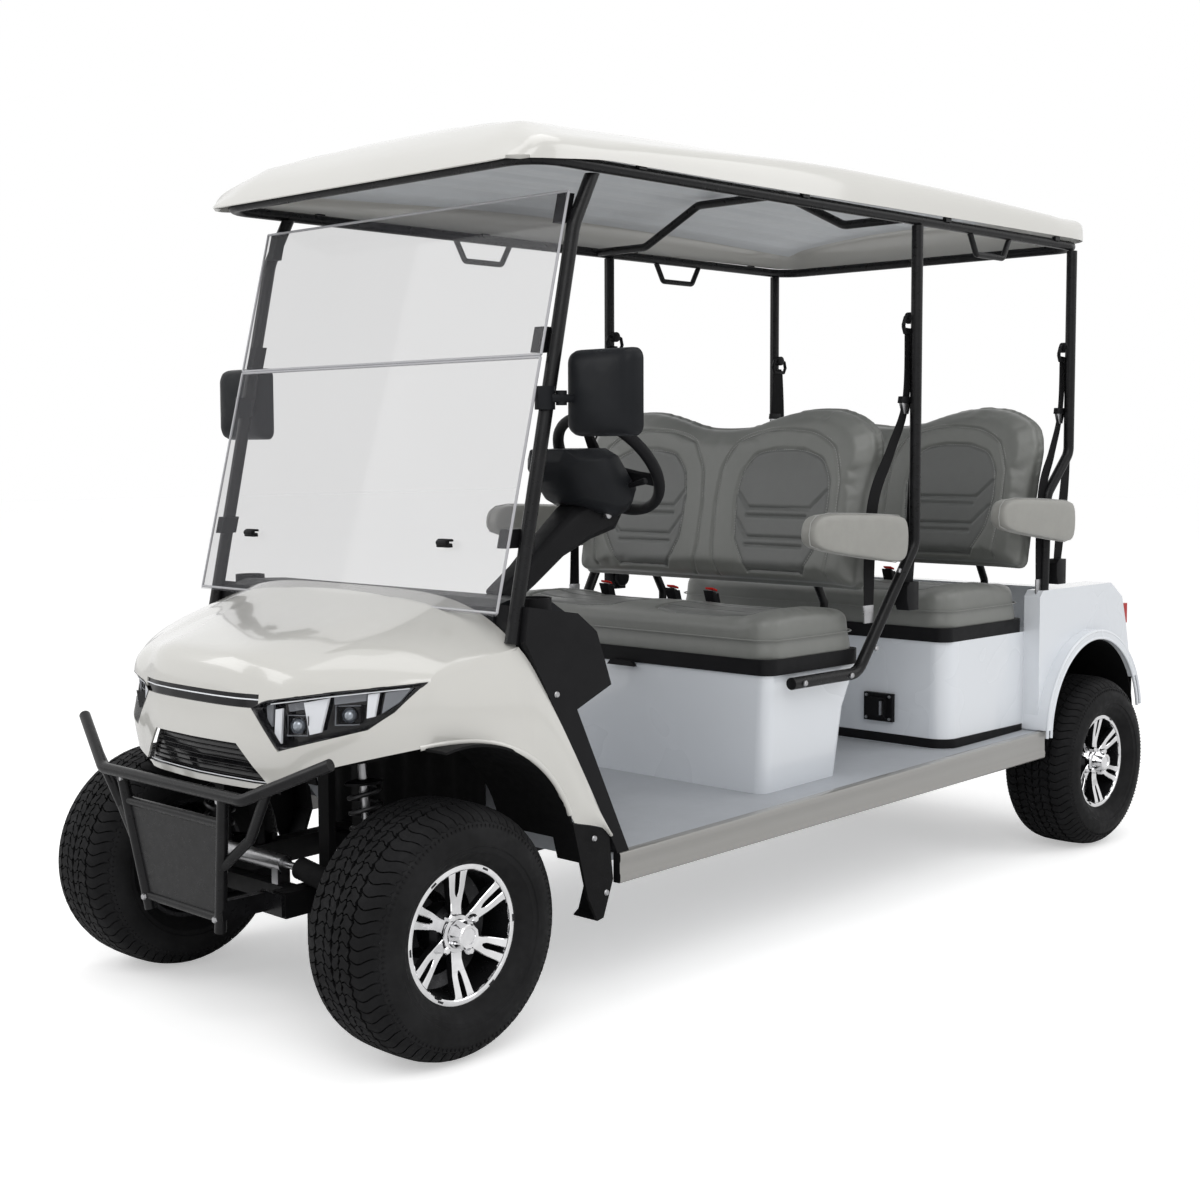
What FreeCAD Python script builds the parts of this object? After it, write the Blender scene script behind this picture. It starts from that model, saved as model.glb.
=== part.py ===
import FreeCAD
import Part
import math
import os

os.makedirs("parts", exist_ok=True)
V = FreeCAD.Vector

# All sizes are in millimetres. +X is forward, +Y the vehicle's left, +Z up, z = 0 the ground.
# The origin lies on the ground under the middle of the overall length.
# A station is a distance behind the front axle; stationX turns it into an x value.

# Overall
bodyHalfWidth = 640
podWidth = 112
podInnerY = bodyHalfWidth - podWidth

# Running gear
wheelBase = 2916
tyreRadius = 292
tyreWidth = 267
treadHalf = 72
bulgeRadius = 217
tyreSides = 60
rimFlangeRadius = 161
rimBarrelRadius = 143
rimWidth = 198
frontRimFace = 639
rearRimFace = 660
hubBoreRadius = 20
axleTubeRadius = 36
spokeCount = 6
seatGap = 0.3
runningGap = 0.5

# Steering geometry
kingpinY = 430
kingpinRadius = 15
kingpinHalf = 62
steerArmReach = 120
steerArmY = 396
armSpread = 88
coilFootY = 330
coilHeadY = 286
towerZ = 640
towerHalf = 20
rackZ = 392
rackRadius = 20
rackBarRadius = 9

# Ladder frame and floor
railY = 215
railWidth = 50
railHeight = 60
crossHalf = 20
railFrontStation = -190
railRearStation = 3190
sillFrontStation = 512
sillRearStation = 2570
sillOuterY = bodyHalfWidth
sillThickness = 24
sillLip = 2
floorFrontZ = 386
floorRearZ = 435
floorThickness = 18
sillHeightFront = 74
sillHeightRear = 88
toeHeadStation = 366
toeHeadZ = 545
toeHalf = podInnerY - 1

# Body shells
bodyWall = 6
hoodRearStation = 200
flankTopZ = 930
hoodBow = 42
hoodCorner = 140
hoodRadius = 2350
hoodApexStation = 620
hoodApexZ = 1068
hoodTurn = 36
hoodTilt = 16
flankFootStation = 504
flankFootZ = 394
noseStation = -275
archStation = 30
archZ = 370
archRadius = 345
noseLowZ = 600
rearBodyFront = 2090
rearBoxRear = 2560
rearBodyRear = 3222
rearBodyHalf = bodyHalfWidth - 22
rearBoxHalf = bodyHalfWidth - 80
rearDeckZ = 900
rearArchStation = wheelBase - 31
rearArchZ = 415
rearArchRadius = 303
flareWidth = 30
flareReach = 40
trayHalf = rearBodyHalf - 98
flapInnerY = bodyHalfWidth - 80
wheelWellY = 396
motorBayZ = 720
fenderLowZ = 566

# Seats
seatBoxFront = 1244
seatBoxRear = 1592
seatBoxHalfTop = bodyHalfWidth - 88
seatBoxFlare = 54
seatBoxHalfLow = seatBoxHalfTop - seatBoxFlare
batteryHalf = seatBoxHalfLow - 98
seatRimZ = 745
rearSeatRimZ = 763
panHeight = 44
panLip = 8
panHalf = seatBoxHalfTop + panLip
frontPanStation = seatBoxFront - 50
frontPanDepth = seatBoxRear + 42 - frontPanStation
rearPanStation = rearBodyFront - 4
rearPanDepth = rearBoxRear + 4 - rearPanStation
cushionHeight = 86
hingeRadius = 9
frontBackStation = seatBoxRear - 22
frontBackZ = 955
rearBackStation = rearBoxRear - 60
rearBackZ = 970
backHeight = 555
backHalf = panHalf
backThickness = 95
backLean = 10.5
strutRadius = 13
strutY = backHalf - 230
strutSetback = 190
armrestWidth = 60
beltRingZ = 1575

# Roof and posts
postRadius = 17
postY = bodyHalfWidth - 40
midPostY = bodyHalfWidth - 20
midPostLowY = bodyHalfWidth - 54
rearPostLowY = bodyHalfWidth - 40
frontPostFoot = 190
frontPostFootZ = 925
frontPostHead = 398
frontPostHeadZ = 1893
midPostStation = seatBoxRear + 220
rearPostStation = rearBoxRear + 169
railTubeZ = 2034
railTubeRadius = 15
canopyFront = 190
canopyRear = 2840
canopyHalf = bodyHalfWidth + 5
canopyLipZ = 2045
canopyLipRearZ = 2054
canopyFrontZ = 2025
canopyVisor = 390
canopyVisorZ = 2182
canopyTail = 70
canopyWall = 6
canopyCrownZ = 2194
canopyBow = 50
canopyCorner = 30
canopyRadius = 30000
canopyTurn = 6

# Dash
cupRadius = 36
cupStation = 292
cupY = bodyHalfWidth - 68

# Windscreen
glassThickness = 5
glassFootStation = 145
glassFootZ = 985
glassHeadStation = 388
glassHeadZ = 1974
glassSeamZ = 1585
glassHalf = postY - 4

# Steering wheel
steerWheelRadius = 172
steerGripRadius = 13
gripSides = 10
steerY = bodyHalfWidth - 310
steerCentreStation = 800
steerCentreZ = 1330
columnFootStation = 440
columnFootZ = 1036

# Brush guard and rear bumper
guardReach = 340
guardTube = 14
guardPlate = 6
bumperDepth = 18

frontAxleX = (rearBodyRear + bumperDepth - guardReach - guardTube) / 2


def stationX(station):
    return frontAxleX - station


rearAxleX = stationX(wheelBase)


def floorZ(station):
    rise = (floorRearZ - floorFrontZ) / (sillRearStation - sillFrontStation)
    return floorFrontZ + rise * (station - sillFrontStation)


def box(x0, x1, y0, y1, z0, z1):
    return Part.makeBox(abs(x1 - x0), abs(y1 - y0), abs(z1 - z0), V(min(x0, x1), min(y0, y1), min(z0, z1)))


def rod(radius, start, end):
    direction = end - start
    return Part.makeCylinder(radius, direction.Length, start, direction)


def mirrorY(shape):
    return shape.mirror(V(0, 0, 0), V(0, 1, 0))


def bothSides(shape):
    return Part.makeCompound([shape, mirrorY(shape)])


def fuse(shapes):
    whole = shapes[0]
    for shape in shapes[1:]:
        whole = whole.fuse(shape)
    return whole.removeSplitter()


def prismXZ(points, y0, y1):
    # Polygon given as (station, z) pairs, drawn out along Y.
    ring = [V(stationX(s), y0, z) for s, z in points]
    face = Part.Face(Part.makePolygon(ring + [ring[0]]))
    return face.extrude(V(0, y1 - y0, 0))


def prismYZ(points, x0, x1):
    ring = [V(x0, y, z) for y, z in points]
    face = Part.Face(Part.makePolygon(ring + [ring[0]]))
    return face.extrude(V(x1 - x0, 0, 0))


def curve(points):
    line = Part.BSplineCurve()
    line.interpolate(points)
    return line.toShape()


def bentTube(points, radius, bend):
    # Straight runs joined by tangent arcs of one bend radius, swept with a round section.
    edges = []
    last = points[0]
    for before, corner, after in zip(points, points[1:], points[2:]):
        towards = (before - corner).normalize()
        away = (after - corner).normalize()
        half = towards.getAngle(away) / 2
        reach = bend / math.tan(half)
        first = corner + towards * reach
        third = corner + away * reach
        bisector = (towards + away).normalize()
        middle = corner + bisector * (bend / math.sin(half) - bend)
        edges.append(Part.LineSegment(last, first).toShape())
        edges.append(Part.Arc(first, middle, third).toShape())
        last = third
    edges.append(Part.LineSegment(last, points[-1]).toShape())
    path = Part.Wire(edges)
    start = points[1] - points[0]
    section = Part.Wire(Part.makeCircle(radius, points[0], start))
    return path.makePipeShell([section], True, False)


def roundedRing(x0, x1, halfWidth, z, corner):
    # Rounded rectangle in a level plane, as a closed wire.
    a = min(x0, x1)
    b = max(x0, x1)
    h = halfWidth
    q = corner * (1 - math.sqrt(0.5))
    edges = []
    edges.append(Part.LineSegment(V(a + corner, -h, z), V(b - corner, -h, z)).toShape())
    edges.append(Part.Arc(V(b - corner, -h, z), V(b - q, -h + q, z), V(b, -h + corner, z)).toShape())
    edges.append(Part.LineSegment(V(b, -h + corner, z), V(b, h - corner, z)).toShape())
    edges.append(Part.Arc(V(b, h - corner, z), V(b - q, h - q, z), V(b - corner, h, z)).toShape())
    edges.append(Part.LineSegment(V(b - corner, h, z), V(a + corner, h, z)).toShape())
    edges.append(Part.Arc(V(a + corner, h, z), V(a + q, h - q, z), V(a, h - corner, z)).toShape())
    edges.append(Part.LineSegment(V(a, h - corner, z), V(a, -h + corner, z)).toShape())
    edges.append(Part.Arc(V(a, -h + corner, z), V(a + q, -h + q, z), V(a + corner, -h, z)).toShape())
    return Part.Wire(edges)


def roundedBlock(s0, s1, halfWidth, z0, z1, corner):
    ring = roundedRing(stationX(s1), stationX(s0), halfWidth, z0, corner)
    return Part.Face(ring).extrude(V(0, 0, z1 - z0))


def roundedBox(s0, s1, y0, y1, z0, z1, corner):
    half = (y1 - y0) / 2
    block = roundedBlock(s0, s1, half, z0, z1, corner)
    block.translate(V(0, (y0 + y1) / 2, 0))
    return block


def belowFloor(clearance):
    # Everything under the sloping floor's top face, raised by a clearance.
    ends = [-400, 3600]
    return prismXZ([(ends[0], floorZ(ends[0]) + clearance), (ends[1], floorZ(ends[1]) + clearance),
                    (ends[1], 0), (ends[0], 0)], -900, 900)


def crossTopZ(station):
    return floorZ(station) - floorThickness - railHeight / 2 + crossHalf


# Wheels

def lathe(profile, sides):
    # Closed (radius, y) profile turned about Y in flats that stand level at the bottom.
    step = 2 * math.pi / sides
    reach = 1 / math.cos(step / 2)
    rings = []
    for radius, y in profile:
        turns = [(index + 0.5) * step for index in range(sides + 1)]
        rings.append([V(radius * reach * math.cos(t), y, radius * reach * math.sin(t)) for t in turns])
    flats = []
    for first, second in zip(rings, rings[1:] + rings[:1]):
        for index in range(sides):
            corners = [first[index], first[(index + 1) % sides], second[(index + 1) % sides], second[index]]
            flats.append(Part.Face(Part.makePolygon(corners + corners[:1])))
    return Part.Solid(Part.makeShell(flats))


def tyre():
    # Bead, bowed wall, two-step shoulder and flat tread.
    half = tyreWidth / 2
    bead = rimWidth / 2 - 8
    inner = rimBarrelRadius + 8 + seatGap
    side = [(inner, bead), (rimFlangeRadius + 2, bead), (bulgeRadius, half), (tyreRadius - 36, half - 9),
            (tyreRadius - 12, half - 33), (tyreRadius, treadHalf)]
    return lathe(side + [(r, -y) for r, y in reversed(side)], tyreSides)


def rim():
    # Barrel with two flanges, a hub and six double spokes; outer face towards +Y.
    half = rimWidth / 2
    lip = rimFlangeRadius
    barrel = rimBarrelRadius
    ring = [(barrel, -half), (lip, -half), (lip, -half + 7), (barrel + 8, -half + 7),
            (barrel + 8, half - 7), (lip, half - 7), (lip, half), (barrel, half)]
    wire = Part.makePolygon([V(r, y, 0) for r, y in ring + ring[:1]])
    shell = Part.Face(wire).revolve(V(0, 0, 0), V(0, 1, 0), 360)
    face = half - 12
    hub = rod(62, V(0, face - 42, 0), V(0, face, 0))
    spokes = []
    for index in range(spokeCount):
        spoke = box(-26, 26, face - 26, face - 2, 50, barrel + 4)
        slot = box(-6, 6, face - 40, face + 10, 78, barrel - 8)
        blade = spoke.cut(slot)
        blade.rotate(V(0, 0, 0), V(0, 1, 0), index * 360 / spokeCount)
        spokes.append(blade)
    wheel = fuse([shell, hub] + spokes)
    cap = rod(32, V(0, face, 0), V(0, face + 14, 0))
    bore = rod(hubBoreRadius + runningGap, V(0, -half, 0), V(0, face - 12, 0))
    return wheel.fuse(cap).cut(bore)


def placeWheel(shape, station, side, rimFace, z):
    placed = shape.copy()
    if side < 0:
        placed = mirrorY(placed)
    placed.translate(V(stationX(station), side * (rimFace - rimWidth / 2), z))
    return placed


# Front suspension and steering

def knuckle():
    # Left knuckle: kingpin boss, stub axle and the steering arm that points forward.
    x = frontAxleX
    z = tyreRadius
    boss = rod(kingpinRadius + 9, V(x, kingpinY, z - kingpinHalf), V(x, kingpinY, z + kingpinHalf))
    boss = boss.cut(rod(kingpinRadius, V(x, kingpinY, z - 90), V(x, kingpinY, z + 90)))
    block = box(x - 30, x + 30, kingpinY + 18, kingpinY + 40, z - 40, z + 40)
    stub = rod(hubBoreRadius, V(x, kingpinY + 20, z), V(x, frontRimFace - 30, z))
    arm = fuse([box(x + 10, x + steerArmReach, kingpinY - 42, kingpinY - 22, z + 34, z + 50),
                rod(14, V(x + steerArmReach, steerArmY, z + 34), V(x + steerArmReach, steerArmY, z + 50)),
                box(x - 8, x + 26, kingpinY - 42, kingpinY - 8, z + 34, z + 50)])
    arm = arm.cut(rod(kingpinRadius, V(x, kingpinY, z - 90), V(x, kingpinY, z + 90)))
    return fuse([boss, block, stub, arm])


def wishbone():
    # Left pair of arms with the kingpin they hold and their pivot tubes on the rail.
    x = frontAxleX
    z = tyreRadius
    pin = rod(kingpinRadius - seatGap, V(x, kingpinY, z - kingpinHalf - 14), V(x, kingpinY, z + kingpinHalf + 14))
    inner = railY + railWidth / 2
    pieces = [pin]
    spread = armSpread
    for level in (z - kingpinHalf - 9, z + kingpinHalf + 9):
        cup = rod(24, V(x, kingpinY, level - 7), V(x, kingpinY, level + 7))
        pieces.append(cup)
        pivot = rod(13, V(x - spread, inner + 13, level), V(x + spread, inner + 13, level))
        pieces.append(pivot)
        for way in (-1, 1):
            pieces.append(rod(9, V(x + way * (spread - 12), inner + 13, level), V(x, kingpinY - 10, level)))
    pieces.append(box(x - 48, x + 48, coilFootY - 14, coilFootY + 14, z - kingpinHalf - 17, z - kingpinHalf - 1))
    return fuse(pieces)


def rackHousing():
    x = frontAxleX + steerArmReach
    end = railY - 72
    housing = rod(rackRadius, V(x, -end, rackZ), V(x, end, rackZ))
    bore = rod(rackBarRadius + runningGap, V(x, -end - 10, rackZ), V(x, end + 10, rackZ))
    feet = []
    for side in (-1, 1):
        foot = box(x - 18, x + 18, side * (end - 30), side * (end - 6), crossTopZ(-steerArmReach) + seatGap, rackZ - 8)
        feet.append(foot)
    return fuse([housing] + feet).cut(bore)


def rackBar():
    # Sliding bar, bellows ends, tie rods and the eyes that lie on the steering arms.
    x = frontAxleX + steerArmReach
    bar = rod(rackBarRadius, V(x, -railY, rackZ), V(x, railY, rackZ))
    pieces = [bar]
    eyeZ = tyreRadius + 50 + seatGap
    for side in (-1, 1):
        pieces.append(rod(8, V(x, side * (railY - 6), rackZ), V(x, side * steerArmY, eyeZ + 12)))
        pieces.append(rod(13, V(x, side * steerArmY, eyeZ), V(x, side * steerArmY, eyeZ + 20)))
    return fuse(pieces)


# Chassis

def railLine(y0, y1):
    # One raked box section under the floor.
    drop = floorThickness + seatGap
    top = [(railFrontStation, floorZ(railFrontStation) - drop), (railRearStation, floorZ(railRearStation) - drop)]
    low = [(s, z - railHeight) for s, z in reversed(top)]
    return prismXZ(top + low, y0, y1)


def frameRail():
    # Left rail with the damper tower and the wishbone ears that stand on it.
    pieces = [railLine(railY - railWidth / 2, railY + railWidth / 2)]
    low = tyreRadius - kingpinHalf - 26
    high = tyreRadius + kingpinHalf + 24
    for way in (-1, 1):
        post = frontAxleX + way * 50
        pieces.append(box(post - 10, post + 10, railY - towerHalf, railY + towerHalf, low + 100, towerZ))
        ear = frontAxleX + way * (armSpread + 6 + seatGap)
        pieces.append(box(ear - 6, ear + 6, railY - 15, railY + 53, low, high))
    pieces.append(box(frontAxleX - 60, frontAxleX + 60, railY - towerHalf, coilHeadY + 30, towerZ, towerZ + 12))
    return fuse(pieces)


def crossMembers():
    # Members between the rails, a beam between the towers and outriggers to the sills.
    inner = railY - railWidth / 2 - seatGap
    outer = railY + railWidth / 2 + seatGap
    pieces = []
    for station in (-steerArmReach, 300, 900, 1650, 2300, 3150):
        z = crossTopZ(station)
        x = stationX(station)
        pieces.append(box(x - crossHalf, x + crossHalf, -inner, inner, z - 2 * crossHalf, z))
    for station in (900, 1650, 2300):
        z = floorZ(station) - floorThickness - seatGap
        x = stationX(station)
        arm = box(x - crossHalf, x + crossHalf, outer, sillOuterY - sillThickness - seatGap, z - 34, z - 4)
        pieces += [arm, mirrorY(arm)]
    end = railY - towerHalf - seatGap
    pieces.append(box(frontAxleX - crossHalf, frontAxleX + crossHalf, -end, end, towerZ - 28, towerZ + 12))
    return Part.makeCompound(pieces)


def floorDeck():
    top = [(sillFrontStation - 20, floorZ(sillFrontStation - 20)), (sillRearStation, floorZ(sillRearStation))]
    low = [(s, z - floorThickness) for s, z in reversed(top)]
    edge = sillOuterY - sillThickness - seatGap
    deck = prismXZ(top + low, -edge, edge)
    foot = (sillFrontStation - 20, floorZ(sillFrontStation - 20))
    head = (toeHeadStation, toeHeadZ)
    toe = prismXZ([foot, head, (head[0] - 14, head[1]), (foot[0] - 14, foot[1] - floorThickness),
                   (foot[0], foot[1] - floorThickness)], -toeHalf, toeHalf)
    return fuse([deck, toe])


def sill():
    outer = sillOuterY
    top = [(sillFrontStation, floorZ(sillFrontStation) + sillLip), (sillRearStation, floorZ(sillRearStation) + sillLip)]
    low = [(sillRearStation, floorZ(sillRearStation) - sillHeightRear),
           (sillFrontStation, floorZ(sillFrontStation) - sillHeightFront)]
    return prismXZ(top + low, outer - sillThickness, outer)


def rearAxle():
    x = rearAxleX
    z = tyreRadius
    end = rearRimFace - 32
    tube = rod(axleTubeRadius, V(x, -rearRimFace + rimWidth, z), V(x, rearRimFace - rimWidth, z))
    stub = rod(hubBoreRadius, V(x, -end, z), V(x, end, z))
    diff = Part.makeSphere(88, V(x, 40, z))
    motor = rod(92, V(x + 70, -170, z + 6), V(x + 70, 20, z + 6))
    return fuse([tube, stub, diff, motor])


def leafSpring():
    # Left leaf pack: a shallow bow under the axle with an eye and a hanger at each end.
    y0 = railY - 22
    y1 = railY + 22
    centre = tyreRadius - axleTubeRadius - 14 - seatGap
    span = 285
    sag = 44
    x = rearAxleX
    outer = Part.Arc(V(x - span, y0, centre + sag), V(x, y0, centre), V(x + span, y0, centre + sag)).toShape()
    innerArc = Part.Arc(V(x + span, y0, centre + sag + 14), V(x, y0, centre + 14), V(x - span, y0, centre + sag + 14))
    inner = innerArc.toShape()
    ends = [Part.makeLine(V(x + span, y0, centre + sag), V(x + span, y0, centre + sag + 14)),
            Part.makeLine(V(x - span, y0, centre + sag + 14), V(x - span, y0, centre + sag))]
    face = Part.Face(Part.Wire(Part.__sortEdges__([outer, ends[0], inner, ends[1]])))
    pack = face.extrude(V(0, y1 - y0, 0))
    hangers = []
    for way in (-1, 1):
        hx = x + way * span
        under = floorZ(frontAxleX - hx - 14) - floorThickness - railHeight - seatGap
        hangers.append(box(hx - 14, hx + 14, y0, y1, centre + sag, under))
    return fuse([pack] + hangers)


def coilOver(foot, head):
    # Damper body, rod and a spring sleeve between two cups.
    length = (head - foot).Length
    axis = (head - foot) * (1 / length)
    pieces = [rod(12, foot, head), rod(20, foot + axis * 30, foot + axis * length * 0.55)]
    pieces.append(rod(30, foot + axis * length * 0.30, foot + axis * (length - 42)))
    pieces.append(rod(34, foot + axis * (length - 42), foot + axis * (length - 34)))
    pieces.append(rod(34, foot + axis * length * 0.28, foot + axis * length * 0.30))
    return fuse(pieces)


def coilOvers():
    z = tyreRadius
    seat = z - kingpinHalf - 1 + seatGap
    front = coilOver(V(frontAxleX, coilFootY, seat - 4), V(frontAxleX, coilHeadY, towerZ - 4))
    between = box(frontAxleX - 90, frontAxleX + 90, 200, 400, seat, towerZ - seatGap)
    front = front.common(between)
    foot = rearAxleX - axleTubeRadius - 12 - seatGap
    rear = coilOver(V(foot, coilFootY, z), V(foot - 20, coilFootY - 10, motorBayZ - 3))
    return Part.makeCompound([front, mirrorY(front), rear, mirrorY(rear)])


def battery():
    low = floorZ(seatBoxRear - 30) + bodyWall + seatGap
    return roundedBlock(seatBoxFront + 26, seatBoxRear - 30, batteryHalf, low, low + 232, 12)


# Front body

def crownSolid(x, topZ, radius, half, corner, bow, lowZ, turn, tilt):
    # Cross-section of one shallow arc over two round corners, turned about a far axis below.
    inner = half - corner
    edgeZ = topZ - bow
    sideZ = edgeZ - corner
    share = corner * math.sqrt(0.5)
    edges = [Part.Arc(V(x, -inner, edgeZ), V(x, 0, topZ), V(x, inner, edgeZ)).toShape()]
    edges.append(Part.Arc(V(x, inner, edgeZ), V(x, inner + share, sideZ + share), V(x, half, sideZ)).toShape())
    edges.append(Part.makeLine(V(x, half, sideZ), V(x, half, lowZ)))
    edges.append(Part.makeLine(V(x, half, lowZ), V(x, -half, lowZ)))
    edges.append(Part.makeLine(V(x, -half, lowZ), V(x, -half, sideZ)))
    edges.append(Part.Arc(V(x, -half, sideZ), V(x, -inner - share, sideZ + share), V(x, -inner, edgeZ)).toShape())
    face = Part.Face(Part.Wire(edges))
    axis = V(x, 0, topZ - radius)
    face.rotate(axis, V(0, 1, 0), tilt - turn / 2)
    return face.revolve(axis, V(0, 1, 0), turn)


def planOutline(inset):
    # Front view from above: a wide bow that sweeps back into straight flanks.
    tip = stationX(noseStation) - inset
    half = bodyHalfWidth - inset
    bow = [V(frontAxleX - 160, half, 0), V(frontAxleX - 90, half * 0.9875, 0), V(tip - 243, half * 0.8906, 0),
           V(tip - 130, half * 0.7, 0), V(tip - 46, half * 0.4844, 0), V(tip, 0, 0)]
    mirrored = [V(p.x, -p.y, 0) for p in reversed(bow[:-1])]
    nose = curve(bow + mirrored)
    back = stationX(620)
    edges = [nose, Part.makeLine(mirrored[-1], V(back, -half, 0)), Part.makeLine(V(back, -half, 0), V(back, half, 0)),
             Part.makeLine(V(back, half, 0), bow[0])]
    return Part.Face(Part.Wire(edges))


def frontSolid(inset, rear=hoodRearStation):
    # Bonnet crown kept inside the plan outline, with straight flanks behind it.
    crown = crownSolid(stationX(hoodApexStation), hoodApexZ - inset, hoodRadius - inset, bodyHalfWidth - inset,
                       hoodCorner - inset, hoodBow, 300, hoodTurn, hoodTilt)
    plan = planOutline(inset).extrude(V(0, 0, 1400))
    behind = box(stationX(900), stationX(rear), -800, 800, flankTopZ, 1300)
    return crown.common(plan).cut(behind)


def noseEdgeCut():
    # Lower edge seen from the front: level under the grille, rising to the wheel arches.
    right = [(1.1, 0), (1.1, noseLowZ + 116), (0.875, noseLowZ + 100), (0.39, noseLowZ + 10), (0.3125, noseLowZ)]
    points = [(-share * bodyHalfWidth, z) for share, z in right] + [(share * bodyHalfWidth, z) for share, z in reversed(right)]
    return prismYZ(points, stationX(archStation), stationX(noseStation) + 60)


def grilleWindow(gap):
    low = bodyHalfWidth * 0.4 - gap
    top = bodyHalfWidth * 0.26 - gap
    points = [(-low, 612 + gap), (-top, 704 - gap), (top, 704 - gap), (low, 612 + gap)]
    return prismYZ(points, stationX(0), stationX(noseStation) + 60)


def lightBarWindow(gap):
    half = bodyHalfWidth * 0.331 - gap
    return box(stationX(0), stationX(noseStation) + 60, -half, half, 789 + gap, 809 - gap)


def lampWindow(gap):
    outline = [(0.383, 806), (0.622, 834), (0.894, 860), (0.8125, 790), (0.739, 750), (0.453, 693), (0.35, 786)]
    points = [(share * bodyHalfWidth, z) for share, z in outline]
    centre = V(0, sum(p[0] for p in points) / len(points), sum(p[1] for p in points) / len(points))
    ring = []
    for y, z in points:
        offset = V(0, y, z) - centre
        shorter = offset * (1 - gap / offset.Length)
        ring.append((centre.y + shorter.y, centre.z + shorter.z))
    return prismYZ(ring, stationX(40), stationX(noseStation) + 60)


def frontCowl():
    shell = frontSolid(0).cut(frontSolid(bodyWall, 800))
    behind = prismXZ([(hoodRearStation, 1300), (hoodRearStation, flankTopZ), (flankFootStation, flankFootZ),
                      (flankFootStation, 200), (900, 200), (900, 1300)], -800, 800)
    arch = rod(archRadius, V(stationX(archStation), -800, archZ), V(stationX(archStation), 800, archZ))
    low = box(stationX(900), stationX(-600), -800, 800, 0, flankFootZ)
    front = shell.cut(behind).cut(arch).cut(low).cut(noseEdgeCut())
    flap = flapBlock(seatGap)
    notch = box(stationX(hoodRearStation + 14), stationX(frontPostFoot - postRadius - 12), postY - 22, postY + 22,
                flankTopZ - 60, 1200)
    front = front.cut(flap).cut(mirrorY(flap)).cut(notch).cut(mirrorY(notch))
    lamp = lampWindow(0)
    return front.cut(grilleWindow(0)).cut(lightBarWindow(0)).cut(lamp).cut(mirrorY(lamp))


def noseTrim():
    skin = frontSolid(5).cut(frontSolid(14))
    return Part.makeCompound([skin.common(grilleWindow(seatGap)), skin.common(lightBarWindow(seatGap))])


def headlamps():
    lamp = frontSolid(2).cut(frontSolid(34)).common(lampWindow(seatGap))
    return bothSides(lamp)


def brushGuard():
    tube = guardTube
    gx = frontAxleX
    reach = gx + guardReach
    bar = bentTube([V(gx + 262, 511, 695), V(reach, 292, 598), V(reach, -292, 598), V(gx + 262, -511, 695)],
                   tube, 50)
    pieces = [bar]
    for side in (-1, 1):
        pieces.append(rod(tube, V(gx + 336, side * 212, 592), V(gx + 306, side * 147, 268)))
        pieces.append(rod(tube - 2, V(gx + 316, side * 356, 628), V(gx + 304, side * 268, 500)))
        pieces.append(rod(tube - 2, V(gx + 304, side * 268, 500), V(gx + 320, side * 174, 420)))
        pieces.append(Part.makeSphere(tube - 2, V(gx + 304, side * 268, 500)))
        z = floorZ(railFrontStation) - floorThickness - railHeight / 2
        front = gx - railFrontStation + seatGap
        pieces.append(box(front, gx + 316, side * 150, side * 172, z - 22, z + 22))
        pieces.append(box(front, front + 8, side * 150, side * (railY + 20), z - 26, z + 26))
    pieces.append(rod(tube - 3, V(gx + 330, -196, 530), V(gx + 330, 196, 530)))
    pieces.append(rod(tube - 3, V(gx + 309, -150, 302), V(gx + 309, 150, 302)))
    slope = math.hypot(330 - 309, 530 - 302)
    across = guardPlate / 2 * (530 - 302) / slope
    drop = guardPlate / 2 * (330 - 309) / slope
    sheet = prismXZ([(-330 - across, 530 - drop), (-309 - across, 302 - drop), (-309 + across, 302 + drop),
                     (-330 + across, 530 + drop)], -200, 200)
    plate = sheet.common(prismYZ([(-200, 530), (200, 530), (154, 302), (-154, 302)], gx + 200, gx + 400))
    return fuse(pieces + [plate])


def flapBlock(gap):
    # Left flap behind the front wheel, larger all round by a gap.
    outline = [(348 - gap, 486 + gap), (447 + gap, 462 + gap), (472 + gap, 438 + gap), (486 + gap, 330),
               (452, 240 - gap), (430, 236 - gap), (398 - gap, 300)]
    return prismXZ(outline, flapInnerY - gap, bodyHalfWidth + gap * 3)


# Dash and side pods

def dashPanel():
    # Upper moulding from the bonnet edge back to the crash pad, with a kick panel below it.
    half = podInnerY - seatGap
    front = hoodRearStation + seatGap
    low = toeHeadZ + seatGap
    outline = [(front, 905), (front, 1004), (250, 1018), (380, 1012), (452, 968), (462, 905), (420, 842),
               (395, 780), (toeHeadStation, low), (toeHeadStation - 13, low), (381, 780), (330, 850)]
    column = steeringColumn(seatGap)
    return prismXZ(outline, -half, half).cut(column)


def sidePod():
    # Left pod: flank strip beside the door opening and the upper box that holds a cup.
    top = (hoodRearStation + seatGap, flankTopZ)
    foot = (flankFootStation + seatGap, flankFootZ - 40)
    strip = prismXZ([top, (foot[0], flankFootZ), foot, (flankFootStation + 60, flankFootZ - 40), (368, 757)],
                    bodyHalfWidth - 26, bodyHalfWidth - 4)
    upper = prismXZ([top, (hoodRearStation + 12, 1010), (372, 985), (436, 937), (460, 875),
                     (486, 805), (368, 757)], podInnerY, bodyHalfWidth - 4)
    centre = V(stationX(cupStation), cupY, 930)
    cup = rod(cupRadius + 4, centre, centre + V(0, 0, 94))
    hole = rod(cupRadius, centre + V(0, 0, 10), centre + V(0, 0, 200))
    under = belowFloor(sillLip + seatGap)
    return fuse([strip, upper, cup]).cut(hole).cut(frontPost(seatGap)).cut(under)


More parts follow.
